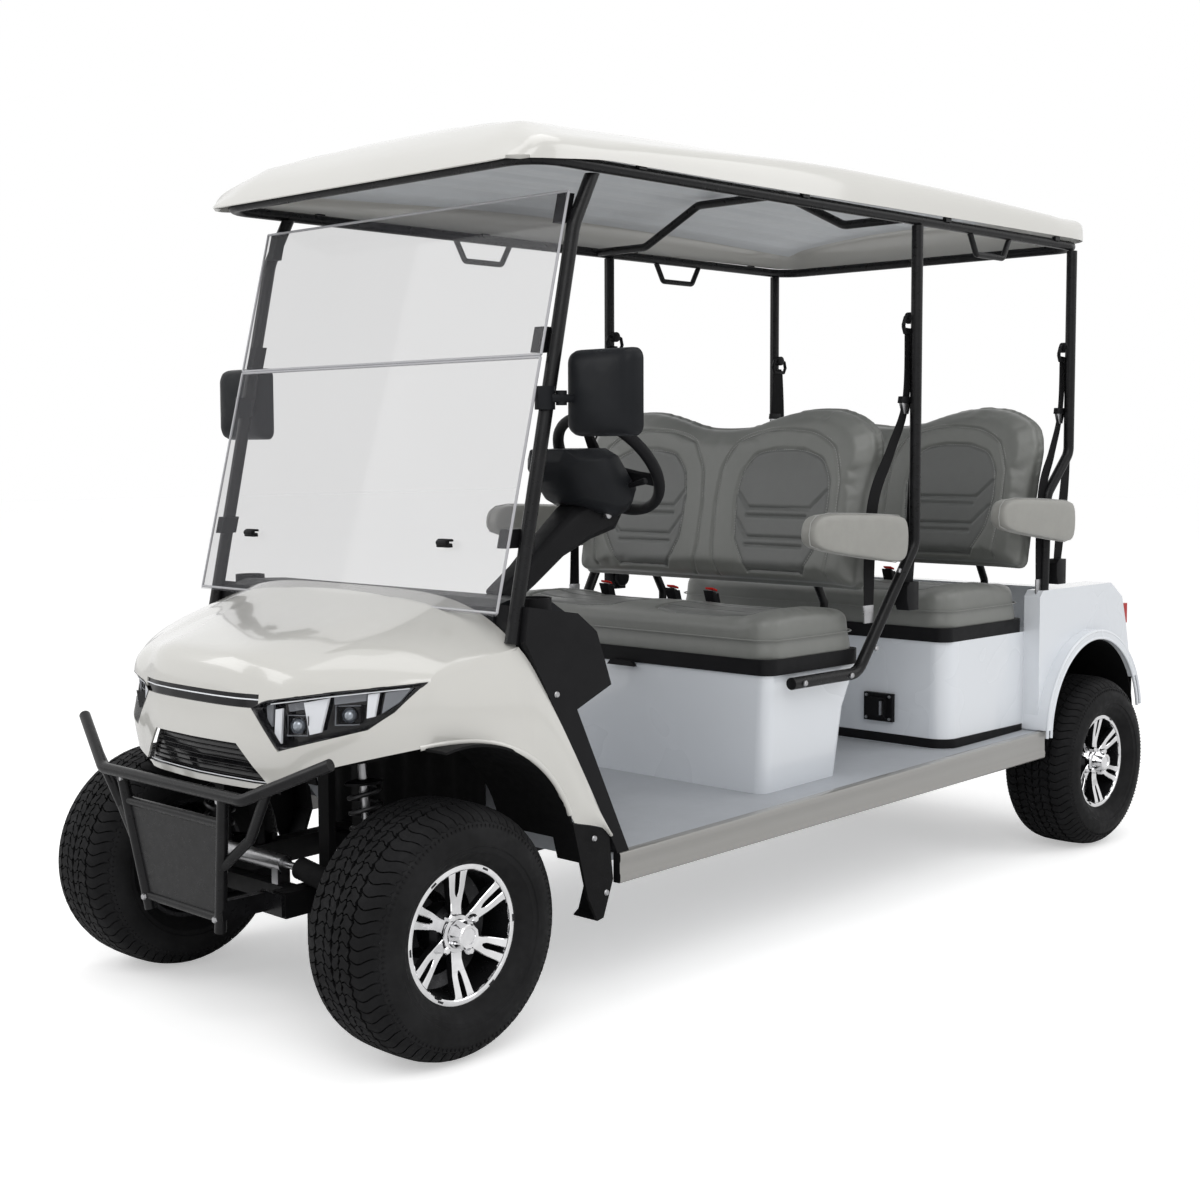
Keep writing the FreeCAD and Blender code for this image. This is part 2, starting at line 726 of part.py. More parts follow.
def wheelLiners():
    # Arch liners behind the front wheels with their flaps, and the flaps behind the rear wheels.
    centre = V(stationX(archStation), 0, archZ)
    outer = archRadius - 0.5
    edge = bodyHalfWidth - bodyWall - seatGap
    ring = rod(outer, centre + V(0, 372, 0), centre + V(0, edge, 0))
    ring = ring.cut(rod(outer - 6, centre + V(0, 360, 0), centre + V(0, 700, 0)))
    keep = prismXZ([(archStation - 130, 1000), (archStation, archZ), (500, 470), (800, 1000)], 300, 700)
    liner = ring.common(keep)
    hollow = prismXZ([(370, 458), (440, 450), (460, 430), (474, 330), (446, 250), (424, 236), (380, 300)],
                     flapInnerY - 10, bodyHalfWidth - 8)
    front = fuse([liner, flapBlock(0).cut(hollow)])
    flap = wheelBase + tyreRadius + 6
    rear = box(stationX(flap + 6), stationX(flap), rearBodyHalf - 148, rearBodyHalf - 1, 338, fenderLowZ - seatGap)
    return Part.makeCompound([front, mirrorY(front), rear, mirrorY(rear)])


# Roof

def aboveRail():
    # Everything higher than the underside of the roof ring.
    return box(-2500, 2500, -900, 900, railTubeZ - railTubeRadius - seatGap, 2400)


def frontPost(gap):
    foot = V(stationX(frontPostFoot), postY, frontPostFootZ)
    head = V(stationX(frontPostHead), postY, frontPostHeadZ)
    top = V(stationX(frontPostHead + 72), postY, railTubeZ)
    return bentTube([foot, head, top], postRadius + gap, 120).cut(aboveRail())


def midPost(gap):
    top = railTubeZ - railTubeRadius - seatGap
    path = [V(stationX(midPostStation), midPostY, top), V(stationX(midPostStation), midPostY, 1085),
            V(stationX(seatBoxRear - 17), midPostLowY, 722), V(stationX(seatBoxFront + 18), midPostLowY, 722)]
    tube = bentTube(path, postRadius + gap, 60)
    if gap:
        return tube
    stations = (seatBoxFront + 56, seatBoxRear - 72)
    pins = [rod(8, V(stationX(s), seatBoxHalfTop - 30, 722), V(stationX(s), midPostLowY, 722)) for s in stations]
    return fuse([tube] + [pin.cut(seatBoxSolid(-seatGap, 0)) for pin in pins])


def rearPost(gap):
    top = railTubeZ - railTubeRadius - seatGap
    path = [V(stationX(rearPostStation), midPostY, top), V(stationX(rearPostStation), midPostY, 1352),
            V(stationX(rearPostStation - 105), rearPostLowY, 1215),
            V(stationX(rearPostStation - 117), rearPostLowY, rearDeckZ - 20)]
    return bentTube(path, postRadius + gap, 60).cut(box(-2500, 0, -900, 900, 0, rearDeckZ + seatGap))


def roofRails():
    front = stationX(canopyFront + 62)
    rear = stationX(canopyRear - 52)
    spine = roundedRing(rear, front, midPostY, railTubeZ, 90)
    start = V(rear + 90, -midPostY, railTubeZ)
    section = Part.Wire(Part.makeCircle(railTubeRadius, start, V(1, 0, 0)))
    ring = spine.makePipeShell([section], True, False)
    x = stationX(midPostStation - 60)
    y = midPostY
    hoop = bentTube([V(x, y, railTubeZ), V(x, 400, railTubeZ), V(x, 170, 2148), V(x, -170, 2148),
                     V(x, -400, railTubeZ), V(x, -y, railTubeZ)], railTubeRadius - 2, 60)
    tabs = []
    edge = canopyHalf - canopyWall - seatGap
    for station in (600, 1250, 1950, 2600):
        for side in (-1, 1):
            tabs.append(box(stationX(station) - 14, stationX(station) + 14, side * (midPostY + 6), side * edge,
                            railTubeZ + 14 - 8, railTubeZ + 20))
    return fuse([ring, hoop] + tabs)


def canopySolid(inset):
    # Crown bowed both ways and kept inside the plan outline.
    middle = (canopyFront + canopyRear) / 2
    crown = crownSolid(stationX(middle), canopyCrownZ - inset, canopyRadius - inset, canopyHalf - inset,
                       canopyCorner - inset, canopyBow, 1900, canopyTurn, 0)
    plan = roundedBlock(canopyFront + inset, canopyRear - inset, canopyHalf - inset, 1800, 2300, 110 - inset)
    return crown.common(plan).common(canopyProfile(inset))


def canopyProfile(inset):
    # Side view: a long sloped visor in front and a small round at the rear.
    slant = inset * math.sqrt(0.5)
    lip = V(stationX(canopyFront + inset), -800, canopyFrontZ - 4)
    brow = V(stationX(canopyFront + 96 + slant), -800, canopyFrontZ + 92 - slant)
    crest = V(stationX(canopyFront + canopyVisor), -800, canopyVisorZ - inset)
    top = V(stationX(canopyFront + canopyVisor), -800, 2400)
    back = V(stationX(canopyRear - canopyTail), -800, 2400)
    tail = V(stationX(canopyRear - canopyTail), -800, canopyLipZ + canopyTail + 62 - inset)
    bend = V(stationX(canopyRear - canopyTail * 0.35 - slant), -800, canopyLipZ + canopyTail + 36 - slant)
    heel = V(stationX(canopyRear - inset), -800, canopyLipZ + canopyTail - 30)
    low = V(stationX(canopyRear - inset), -800, 1800)
    foot = V(stationX(canopyFront + inset), -800, 1800)
    edges = [Part.Arc(lip, brow, crest).toShape(), Part.makeLine(crest, top), Part.makeLine(top, back),
             Part.makeLine(back, tail), Part.Arc(tail, bend, heel).toShape(), Part.makeLine(heel, low),
             Part.makeLine(low, foot), Part.makeLine(foot, lip)]
    return Part.Face(Part.Wire(edges)).extrude(V(0, 1600, 0))


def roofCanopy():
    lip = prismXZ([(0, 1500), (0, canopyFrontZ), (canopyFront, canopyFrontZ), (canopyFront + 300, canopyLipZ),
                   (canopyRear, canopyLipRearZ), (3300, canopyLipRearZ), (3300, 1500)], -800, 800)
    return canopySolid(0).cut(canopySolid(canopyWall)).cut(lip)


def grabHandle(station, side):
    y = side * midPostY
    z = railTubeZ - railTubeRadius - seatGap
    path = [V(stationX(station - 6), y, z + 10), V(stationX(station + 34), y, z - 58),
            V(stationX(station + 190), y, z - 58), V(stationX(station + 230), y, z + 10)]
    return bentTube(path, 9, 14).cut(aboveRail())


def grabHandles():
    return Part.makeCompound([grabHandle(1118, -1), grabHandle(2055, -1), grabHandle(2100, 1)])


# Windscreen

def glassStation(z):
    slope = (glassHeadStation - glassFootStation) / (glassHeadZ - glassFootZ)
    return glassFootStation + slope * (z - glassFootZ)


def glassPane(z0, z1):
    points = [(glassStation(z0), z0), (glassStation(z1), z1), (glassStation(z1) + glassThickness, z1),
              (glassStation(z0) + glassThickness, z0)]
    return prismXZ(points, -glassHalf, glassHalf)


def windshield():
    lower = glassPane(glassFootZ + 6, glassSeamZ - 2).cut(frontSolid(-runningGap))
    upper = glassPane(glassSeamZ + 2, glassHeadZ)
    return Part.makeCompound([lower, upper])


def windshieldClips():
    # Upper clamps, middle hinges and lower holders, each between a post and the glass.
    pieces = []
    for z, height, reach in ((1935, 70, 34), (glassSeamZ + 40, 60, 40), (1165, 44, 52)):
        low = z - height / 2
        high = z + height / 2
        off = glassThickness + seatGap
        outline = [(glassStation(low) + off, low), (glassStation(high) + off, high),
                   (glassStation(high) + reach, high), (glassStation(low) + reach, low)]
        block = prismXZ(outline, postY - 46, postY - postRadius - seatGap)
        pieces.append(block)
        pieces.append(mirrorY(block))
    return Part.makeCompound(pieces)


# Seats

def seatBoxSolid(inset, lift):
    low = floorZ(seatBoxFront) - 60
    bottom = roundedRing(stationX(seatBoxRear - inset), stationX(seatBoxFront + inset), seatBoxHalfLow - inset,
                         low + lift, 34 - inset)
    middle = roundedRing(stationX(seatBoxRear + 4 - inset), stationX(seatBoxFront - 30 + inset),
                         seatBoxHalfLow + seatBoxFlare * 2 / 3 - inset, 620 + lift, 34 - inset)
    top = roundedRing(stationX(seatBoxRear + 44 - inset), stationX(seatBoxFront - 44 + inset), seatBoxHalfTop - inset,
                      seatRimZ + lift, 34 - inset)
    return Part.makeLoft([bottom, middle, top], True, True)


def seatBox():
    inner = seatBoxSolid(bodyWall, 0).cut(belowFloor(bodyWall))
    return seatBoxSolid(0, -seatGap).cut(inner).cut(belowFloor(seatGap))


def rearProfile():
    tail = rearBodyRear
    return [(rearBoxRear, 420), (rearBoxRear, rearDeckZ - 20), (rearBoxRear + 20, rearDeckZ), (tail - 172, rearDeckZ),
            (tail - 87, 846), (tail - 54, 745), (tail - 22, 620), (tail, fenderLowZ), (tail, 430)]


def rearBody():
    arch = stationX(rearArchStation)
    block = roundedBlock(rearBodyFront, rearBoxRear + 80, rearBoxHalf, 380, rearSeatRimZ - seatGap, 60)
    body = prismXZ(rearProfile(), -rearBodyHalf, rearBodyHalf)
    flare = rod(rearArchRadius + flareWidth, V(arch, rearBoxHalf, rearArchZ), V(arch, rearBodyHalf + flareReach, rearArchZ))
    rear = rearArchStation + rearArchRadius - 2
    flare = flare.common(prismXZ([(2500, 440), (2500, 1000), (rear, 1000), (rear, fenderLowZ), (2900, 440)], 0, 900))
    whole = fuse([block, body, flare, mirrorY(flare)])
    tail = rearBodyRear
    low = floorZ(rearBoxRear)
    wells = fuse([rod(rearArchRadius, V(arch, wheelWellY, rearArchZ), V(arch, 900, rearArchZ)),
                  box(stationX(tail + 178), arch + rearArchRadius, wheelWellY, 900, 100, rearArchZ),
                  box(stationX(tail + 178), stationX(tail - 72), wheelWellY, 900, 100, fenderLowZ)])
    bay = wheelWellY - 10
    storage = roundedBlock(rearBodyFront + bodyWall, rearBoxRear, rearBoxHalf - bodyWall, low + 12, 1200, 50)
    motorBay = box(stationX(tail - 10), stationX(rearBoxRear + 40), -bay, bay, 100, motorBayZ)
    tray = roundedBlock(rearBoxRear + 230, tail - 122, trayHalf, 772, 1200, 30)
    backSlot = box(stationX(rearBoxRear + 160), stationX(rearBoxRear - 60), -rearBoxHalf, rearBoxHalf,
                   rearSeatRimZ - seatGap, 1200)
    whole = whole.cut(wells).cut(mirrorY(wells)).cut(storage).cut(motorBay).cut(tray).cut(backSlot)
    reach = box(stationX(sillRearStation + runningGap), stationX(1000), -900, 900, 0, 700)
    lip = sillOuterY - sillThickness - runningGap
    ledge = belowFloor(sillLip + seatGap).common(reach).common(box(-2500, 2500, lip, 900, 0, 700))
    ladder = box(stationX(rearBoxRear + 50), stationX(rearBoxRear - 160), -bay, bay, 0, low)
    return whole.cut(belowFloor(seatGap).common(reach)).cut(ledge).cut(mirrorY(ledge)).cut(ladder)


def seatPan(frontStation, depth, rimZ):
    # Tray under a cushion with the two hinge barrels on its rear edge.
    pan = roundedBlock(frontStation, frontStation + depth, panHalf, rimZ, rimZ + panHeight, 40)
    x = stationX(frontStation + depth + hingeRadius - 1)
    barrels = [rod(hingeRadius, V(x, y, rimZ + hingeRadius), V(x, y + 120, rimZ + hingeRadius)) for y in (-260, 140)]
    return fuse([pan] + barrels)


def cushion(frontStation, depth, rimZ):
    low = rimZ + panHeight + seatGap
    block = roundedBlock(frontStation + 4, frontStation + depth - 6, panHalf - 6, low, low + cushionHeight, 60)
    top = [edge for edge in block.Edges if edge.BoundBox.ZMin > low + cushionHeight - 1]
    return block.makeFillet(26, top)


def backrest(foot, footZ, topZ):
    # Twin-hump back, drawn upright and then leaned about its lower front edge.
    x = stationX(foot)
    half = backHalf
    low = footZ
    hump = topZ
    dip = topZ - 52
    peak = half * 0.602
    inner = half * 0.357
    top = [V(x, half, hump - 150), V(x, half - 22, hump - 70), V(x, half - 110, hump - 16), V(x, peak, hump),
           V(x, inner, hump - 18), V(x, 0, dip), V(x, -inner, hump - 18), V(x, -peak, hump),
           V(x, -half + 110, hump - 16), V(x, -half + 22, hump - 70), V(x, -half, hump - 150)]
    edges = [curve(top), Part.makeLine(top[-1], V(x, -half + 20, low)),
             Part.makeLine(V(x, -half + 20, low), V(x, half - 20, low)), Part.makeLine(V(x, half - 20, low), top[0])]
    solid = Part.Face(Part.Wire(edges)).extrude(V(-backThickness, 0, 0))
    solid.rotate(V(x, 0, low), V(0, 1, 0), -backLean)
    return solid


def backrestFrames():
    # Bent struts behind each back: up from the body, forward and along the back's rear face.
    pieces = []
    lean = math.tan(math.radians(backLean))
    reach = (backThickness + strutRadius + seatGap) / math.cos(math.radians(backLean))
    rows = ((frontBackStation, frontBackZ, seatRimZ - 40), (rearBackStation, rearBackZ, rearSeatRimZ))
    for foot, backZ, lowZ in rows:
        base = V(stationX(foot + strutSetback), strutY, lowZ)
        knee = V(stationX(foot + strutSetback), strutY, backZ - 55)
        low = V(stationX(foot + reach + lean * 60), strutY, backZ + 60)
        top = V(stationX(foot + reach + lean * 280), strutY, backZ + 280)
        path = [base, knee, low, top]
        if foot == frontBackStation:
            path = [V(stationX(seatBoxRear), strutY, lowZ)] + path
        strut = bentTube(path, strutRadius, 26)
        if foot == frontBackStation:
            strut = strut.cut(seatBoxSolid(-seatGap, 0))
        pieces.append(strut)
        pieces.append(mirrorY(strut))
    return Part.makeCompound(pieces)


def armrest(station, z, inner):
    points = [(station, z - 20), (station + 30, z + 50), (station + 90, z + 58), (station + 480, z + 34),
              (station + 490, z - 60), (station + 470, z - 82), (station + 60, z - 36)]
    arm = prismXZ(points, inner, inner + armrestWidth)
    long = [edge for edge in arm.Edges if abs(edge.BoundBox.YMax - edge.BoundBox.YMin) < 1]
    return arm.makeFillet(14, long)


def armrests():
    front = armrest(seatBoxFront + 18, 1130, midPostY - 14)
    peg = rod(10, V(stationX(seatBoxRear + 148), midPostY, 1110),
              V(stationX(midPostStation - postRadius - seatGap), midPostY, 1110))
    front = fuse([front, peg])
    rear = armrest(rearBoxRear - 320, 1150, rearPostLowY + postRadius + seatGap)
    return Part.makeCompound([front, mirrorY(front), rear, mirrorY(rear)])


# Controls and fittings

def mirrors():
    x = stationX(378)
    head = roundedBox(352, 404, postY + 4, postY + 216, 1400, 1602, 20)
    arm = box(x - 10, stationX(296), postY + postRadius + seatGap, postY + 34, 1480, 1510)
    return bothSides(fuse([head, arm]))


def steeringAxis():
    centre = V(stationX(steerCentreStation), steerY, steerCentreZ)
    foot = V(stationX(columnFootStation), steerY, columnFootZ)
    return centre, (foot - centre).normalize()


def steeringWheel():
    centre, axis = steeringAxis()
    upright = V(0, 0, 1)
    middle = steerWheelRadius - steerGripRadius
    turns = [math.radians(step * 360 / gripSides) for step in range(gripSides + 1)]
    section = [V(middle + steerGripRadius * math.cos(t), 0, steerGripRadius * math.sin(t)) for t in turns]
    grip = Part.Face(Part.makePolygon(section[:-1] + section[:1])).revolve(V(0, 0, 0), upright, 360)
    hub = Part.makeCylinder(38, 34, V(0, 0, -26), upright)
    spokes = []
    for angle in (90, 210, 330):
        spoke = box(0, steerWheelRadius - steerGripRadius, -13, 13, -12, -2)
        spoke.rotate(V(0, 0, 0), upright, angle)
        spokes.append(spoke)
    wheel = fuse([grip, hub] + spokes)
    wheel.Placement = FreeCAD.Placement(centre, FreeCAD.Rotation(upright, axis * -1))
    return wheel


def steeringColumn(gap):
    # Column from the wheel's hub down into the dash, inside a tapered instrument shroud.
    centre, axis = steeringAxis()
    start = centre + axis * (26 + runningGap)
    lower = rod(30 + gap, start, start + axis * 500)
    shroud = Part.makeCone(70 + gap, 92 + gap, 190, start + axis * 6, axis)
    return fuse([lower, shroud])


def pedals():
    # Two pads parallel to the toe board, each on a lever that stands on it.
    run = sillFrontStation - 20 - toeHeadStation
    rise = toeHeadZ - floorZ(sillFrontStation - 20)
    size = math.hypot(run, rise)
    along = (-run / size, rise / size)
    out = (rise / size, run / size)
    pieces = []
    for y, width in ((420, 56), (270, 90)):
        root = (toeHeadStation + run * 0.52, toeHeadZ - rise * 0.52)

        def at(a, b):
            return (root[0] + along[0] * a + out[0] * b, root[1] + along[1] * a + out[1] * b)

        pad = prismXZ([at(-46, 60), at(46, 60), at(46, 68), at(-46, 68)], y - width / 2, y + width / 2)
        lever = prismXZ([at(-8, seatGap), at(8, seatGap), at(8, 62), at(-8, 62)], y - 9, y + 9)
        pieces.append(fuse([pad, lever]))
    return Part.makeCompound(pieces)


def chargePort():
    face = stationX(rearBodyFront) + seatGap
    port = box(face, face + 16, 262, 370, 495, 585)
    lid = box(face + 16, face + 30, 285, 350, 508, 572)
    return fuse([port, lid])


def tailLamps():
    lamp = box(stationX(rearBodyRear - 46), stationX(rearBodyRear - 92), rearBodyHalf - 78, rearBodyHalf - 1, 750, 820)
    return bothSides(lamp.cut(prismXZ(rearProfile(), 500, 700)))


def rearBumper():
    x = stationX(rearBodyRear)
    return box(x - bumperDepth, x - seatGap, -400, 400, 440, 500)


def beltRows():
    # Post, station and height of the upper ring, then station and height of the reel, with its y.
    return ((midPost, midPostStation, beltRingZ, midPostStation - 90, 935, midPostLowY + 14),
            (rearPost, rearPostStation, beltRingZ, rearPostStation - 79, 965, rearPostLowY))


def beltStraps():
    pieces = []
    for post, station, ringZ, foot, reelZ, reelY in beltRows():
        y = midPostY - postRadius - 18
        low = reelZ + seatGap
        top = ringZ - 14 - seatGap
        strap = prismXZ([(station - 34, top), (station + 8, top), (foot + 40, low), (foot - 2, low)], y - 2, y)
        pieces.append(strap)
        pieces.append(mirrorY(strap))
    return Part.makeCompound(pieces)


def beltHardware():
    # Upper guide rings on the posts and the reels at their feet.
    pieces = []
    for post, station, ringZ, foot, reelZ, reelY in beltRows():
        edge = midPostY - postRadius - seatGap
        ring = box(stationX(station + 12), stationX(station - 36), edge - 24, edge, ringZ - 14, ringZ + 22)
        reel = box(stationX(foot + 56), stationX(foot - 16), reelY - 32, reelY + 6, reelZ - 56, reelZ)
        reel = reel.cut(post(seatGap))
        pieces += [ring, mirrorY(ring), reel, mirrorY(reel)]
    return Part.makeCompound(pieces)


def save(name, shape):
    shape.exportStep("parts/" + name + ".step")
    solids = shape.Solids
    print(name, len(solids), "solids", round(sum(s.Volume for s in solids) / 1e6, 2), "litres", shape.isValid())


tyreShape = tyre()
rimShape = rim()
corners = (("front_left", 0, 1, frontRimFace), ("front_right", 0, -1, frontRimFace),
           ("rear_left", wheelBase, 1, rearRimFace), ("rear_right", wheelBase, -1, rearRimFace))
for cornerName, cornerStation, cornerSide, cornerFace in corners:
    save("tyre_" + cornerName, placeWheel(tyreShape, cornerStation, cornerSide, cornerFace, tyreRadius))
    save("rim_" + cornerName, placeWheel(rimShape, cornerStation, cornerSide, cornerFace, tyreRadius))

leftKnuckle = knuckle()
save("knuckle_left", leftKnuckle)
save("knuckle_right", mirrorY(leftKnuckle))
leftArms = wishbone()
save("wishbones", bothSides(leftArms))
save("rack_housing", rackHousing())
save("steering_rack", rackBar())
save("coil_overs", coilOvers())
save("rear_axle", rearAxle())
save("leaf_springs", bothSides(leafSpring()))
save("frame_rails", bothSides(frameRail()))
save("frame_crossmembers", crossMembers())
save("floor_deck", floorDeck())
save("sills", bothSides(sill()))
save("battery_pack", battery())
save("front_cowl", frontCowl())
save("nose_trim", noseTrim())
save("headlamps", headlamps())
save("brush_guard", brushGuard())
save("dash_panel", dashPanel())
save("side_pods", bothSides(sidePod()))
save("wheel_liners", wheelLiners())
save("front_posts", bothSides(frontPost(0)))
save("mid_posts", bothSides(midPost(0)))
save("rear_posts", bothSides(rearPost(0)))
save("roof_rails", roofRails())
save("roof_canopy", roofCanopy())
save("grab_handles", grabHandles())
save("windshield", windshield())
save("windshield_clips", windshieldClips())
save("seat_box_front", seatBox())
save("rear_body", rearBody())
save("seat_pan_front", seatPan(frontPanStation, frontPanDepth, seatRimZ))
save("seat_pan_rear", seatPan(rearPanStation, rearPanDepth, rearSeatRimZ))
save("cushion_front", cushion(frontPanStation, frontPanDepth, seatRimZ))
save("cushion_rear", cushion(rearPanStation, rearPanDepth, rearSeatRimZ))
save("backrest_front", backrest(frontBackStation, frontBackZ, frontBackZ + backHeight))
save("backrest_rear", backrest(rearBackStation, rearBackZ, rearBackZ + backHeight))
save("backrest_frames", backrestFrames())
save("armrests", armrests())
save("mirrors", mirrors())
save("steering_wheel", steeringWheel())
save("steering_column", steeringColumn(0))
save("pedals", pedals())
save("charge_port", chargePort())
save("tail_lamps", tailLamps())
save("rear_bumper", rearBumper())
save("belt_straps", beltStraps())
save("belt_hardware", beltHardware())
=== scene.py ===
import math
import bmesh
import bpy
from mathutils import Matrix, Vector
from mathutils.bvhtree import BVHTree
from mathutils.kdtree import KDTree


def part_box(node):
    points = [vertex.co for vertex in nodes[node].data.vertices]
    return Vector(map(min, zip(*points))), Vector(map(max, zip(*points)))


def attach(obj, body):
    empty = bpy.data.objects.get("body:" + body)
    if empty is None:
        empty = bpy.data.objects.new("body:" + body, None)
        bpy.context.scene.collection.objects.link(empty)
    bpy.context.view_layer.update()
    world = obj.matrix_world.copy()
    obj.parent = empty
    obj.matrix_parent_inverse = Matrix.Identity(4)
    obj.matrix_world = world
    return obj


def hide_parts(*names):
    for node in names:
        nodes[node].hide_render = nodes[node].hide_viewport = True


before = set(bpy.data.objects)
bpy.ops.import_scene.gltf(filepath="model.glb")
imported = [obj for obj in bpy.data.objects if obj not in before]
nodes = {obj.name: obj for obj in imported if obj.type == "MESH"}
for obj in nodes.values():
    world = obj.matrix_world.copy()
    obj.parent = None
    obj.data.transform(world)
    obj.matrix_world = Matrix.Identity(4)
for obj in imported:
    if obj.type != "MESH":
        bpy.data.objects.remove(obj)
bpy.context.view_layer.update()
tyreLow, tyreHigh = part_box("tyre_front_left")
axleX = (tyreLow.x + tyreHigh.x) / 2
wheelRadius = (tyreHigh.x - tyreLow.x) / 2
wheelCorners = ("front_left", "front_right", "rear_left", "rear_right")


def at(station, y, z):  # a point by its distance behind the front axle, in metres
    return Vector((axleX - station, y, z))


# Shader maths

class Signal:  # an output socket of a finish
    def __init__(self, finish, socket):
        self.finish = finish
        self.socket = socket

    def __add__(self, other):
        return self.finish.maths("ADD", self, other)

    def __mul__(self, other):
        return self.finish.maths("MULTIPLY", self, other)


class Finish:
    def __init__(self, name, **fixed):
        self.material = bpy.data.materials.new(name)
        self.material.use_nodes = True
        self.tree = self.material.node_tree
        self.shader = self.tree.nodes["Principled BSDF"]
        self.place = None
        for key, value in fixed.items():
            self.put(key, value)

    def put(self, key, value):  # key "coatWeight" stands for the socket "Coat Weight"
        words = "".join(" " + c if c.isupper() else c for c in key).split()
        name = " ".join("IOR" if w == "Ior" else w.capitalize() for w in words)
        self.plug(self.shader.inputs[name], value)

    def plug(self, socket, value):
        if isinstance(value, Signal):
            self.tree.links.new(value.socket, socket)
        elif isinstance(value, (tuple, list)) and len(value) == 3 and socket.type == "RGBA":
            socket.default_value = (*value, 1)
        else:
            socket.default_value = value

    def node(self, kind, settings=None, inputs=None, output=0):
        made = self.tree.nodes.new(kind)
        for key, value in (settings or {}).items():
            setattr(made, key, value)
        for key, value in (inputs or {}).items():
            self.plug(made.inputs[key], value)
        return Signal(self, made.outputs[output])

    def maths(self, operation, *values):
        return self.node("ShaderNodeMath", {"operation": operation}, dict(enumerate(values)))

    def point(self):
        if self.place is None:
            self.place = self.node("ShaderNodeTexCoord", output="Object")
        return self.place

    def noise(self, scale, detail=4.0, roughness=0.55):
        inputs = {"Vector": self.point(), "Scale": scale, "Detail": detail, "Roughness": roughness}
        return self.node("ShaderNodeTexNoise", None, inputs)

    def cells(self, scale):
        return self.node("ShaderNodeTexVoronoi", {"feature": "SMOOTH_F1"}, {"Vector": self.point(), "Scale": scale})

    def span(self, value, low, high, newLow=0.0, newHigh=1.0):
        return self.node("ShaderNodeMapRange", None, {"Value": value, 1: low, 2: high, 3: newLow, 4: newHigh})

    def blend(self, factor, a, b):
        return self.node("ShaderNodeMix", {"data_type": "RGBA"}, {0: factor, 6: a, 7: b}, 2)

    def tone(self, signal, low, high, a, b):  # the colour goes from a to b while the signal goes from low to high
        self.put("baseColor", self.blend(self.span(signal, low, high), a, b))

    def dull(self, signal, a, b, low=0.3, high=0.7):
        self.put("roughness", self.span(signal, low, high, a, b))

    def bump(self, height, strength, distance):
        inputs = {"Strength": strength, "Distance": distance, "Height": height}
        self.put("normal", self.node("ShaderNodeBump", None, inputs))
        return self


def shade(color, factor):
    return tuple(min(1.0, c * factor) for c in color)


# Finishes

paint = {
    "beige": (0.60, 0.592, 0.56), "white": (0.74, 0.77, 0.81), "silver": (0.27, 0.264, 0.25),
    "fleck": 1400.0, "coat": 1.0, "coatRoughness": 0.06,
}


def paintFinish(name, color, roughness=0.32, metallic=0.0, pearl=0.05):
    coat, coatRoughness = paint["coat"], paint["coatRoughness"]
    f = Finish(name, roughness=roughness, metallic=metallic, coatWeight=coat, coatRoughness=coatRoughness)
    cloud = f.span(f.noise(1.7, 3.0), 0.3, 0.7)
    base = f.blend(cloud, shade(color, 1 - pearl), shade(color, 1 + pearl * 0.6))
    fleck = f.span(f.noise(paint["fleck"], 1.0), 0.58, 0.72, 0.0, 0.10)
    f.put("baseColor", f.blend(fleck, base, shade(color, 1.08)))
    f.dull(f.noise(3.0, 2.0), roughness - 0.02, roughness + 0.02)
    return f.bump(f.noise(90.0, 2.0), 0.012, 0.0003)


def plasticFinish(name, color, roughness=0.5, grain=900.0, depth=0.0004, strength=0.35, shine=0.1):
    f = Finish(name, roughness=roughness, specularIorLevel=shine)
    spread = 0.12 if max(color) < 0.1 else 0.03
    f.tone(f.noise(8.0, 3.0), 0.35, 0.75, shade(color, 1 - spread), shade(color, 1 + spread))
    f.dull(f.noise(40.0, 4.0), roughness - 0.07, roughness + 0.08)
    return f.bump(f.cells(grain), strength, depth)


def metalFinish(name, color, roughness=0.3, metallic=1.0, cloud=22.0):
    f = Finish(name, roughness=roughness, metallic=metallic)
    f.tone(f.noise(cloud, 5.0), 0.35, 0.7, shade(color, 0.88), shade(color, 1.06))
    f.dull(f.noise(cloud * 3, 4.0), max(0.03, roughness - 0.06), roughness + 0.07)
    return f.bump(f.noise(500.0, 3.0), 0.06, 0.0003)


def tubeFinish(name):  # black powder coat, faintly pebbled
    f = Finish(name, roughness=0.34, specularIorLevel=0.2)
    f.tone(f.noise(30.0), 0.35, 0.7, (0.0055, 0.0055, 0.006), (0.010, 0.010, 0.011))
    f.dull(f.noise(70.0, 4.0), 0.24, 0.38)
    return f.bump(f.noise(900.0, 2.0), 0.08, 0.0002)


def rubberFinish(name, color=(0.0065, 0.0065, 0.007)):
    f = Finish(name, roughness=0.62, specularIorLevel=0.1)
    f.tone(f.noise(11.0, 6.0), 0.4, 0.75, color, shade(color, 1.8))
    f.dull(f.noise(60.0, 4.0), 0.52, 0.74)
    return f.bump(f.noise(420.0, 4.0), 0.3, 0.0006)


def leatherFinish(name, color, grain=330.0):
    f = Finish(name, roughness=0.42, sheenWeight=0.12, sheenRoughness=0.4)
    crease = f.noise(26.0, 6.0, 0.6)
    f.tone(crease, 0.35, 0.7, shade(color, 0.96), shade(color, 1.04))
    f.dull(crease, 0.38, 0.46)
    return f.bump(f.cells(grain) * 0.7 + crease * 0.25, 0.22, 0.0006)


def glassFinish(name, tint=(0.10, 0.10, 0.11), alpha=0.16, roughness=0.03):
    f = Finish(name, baseColor=tint)
    f.put("alpha", f.span(f.noise(3.0, 4.0), 0.3, 0.7, alpha * 0.98, alpha * 1.02))
    f.dull(f.noise(3.0, 2.0), roughness * 0.9, roughness * 1.1)
    return f


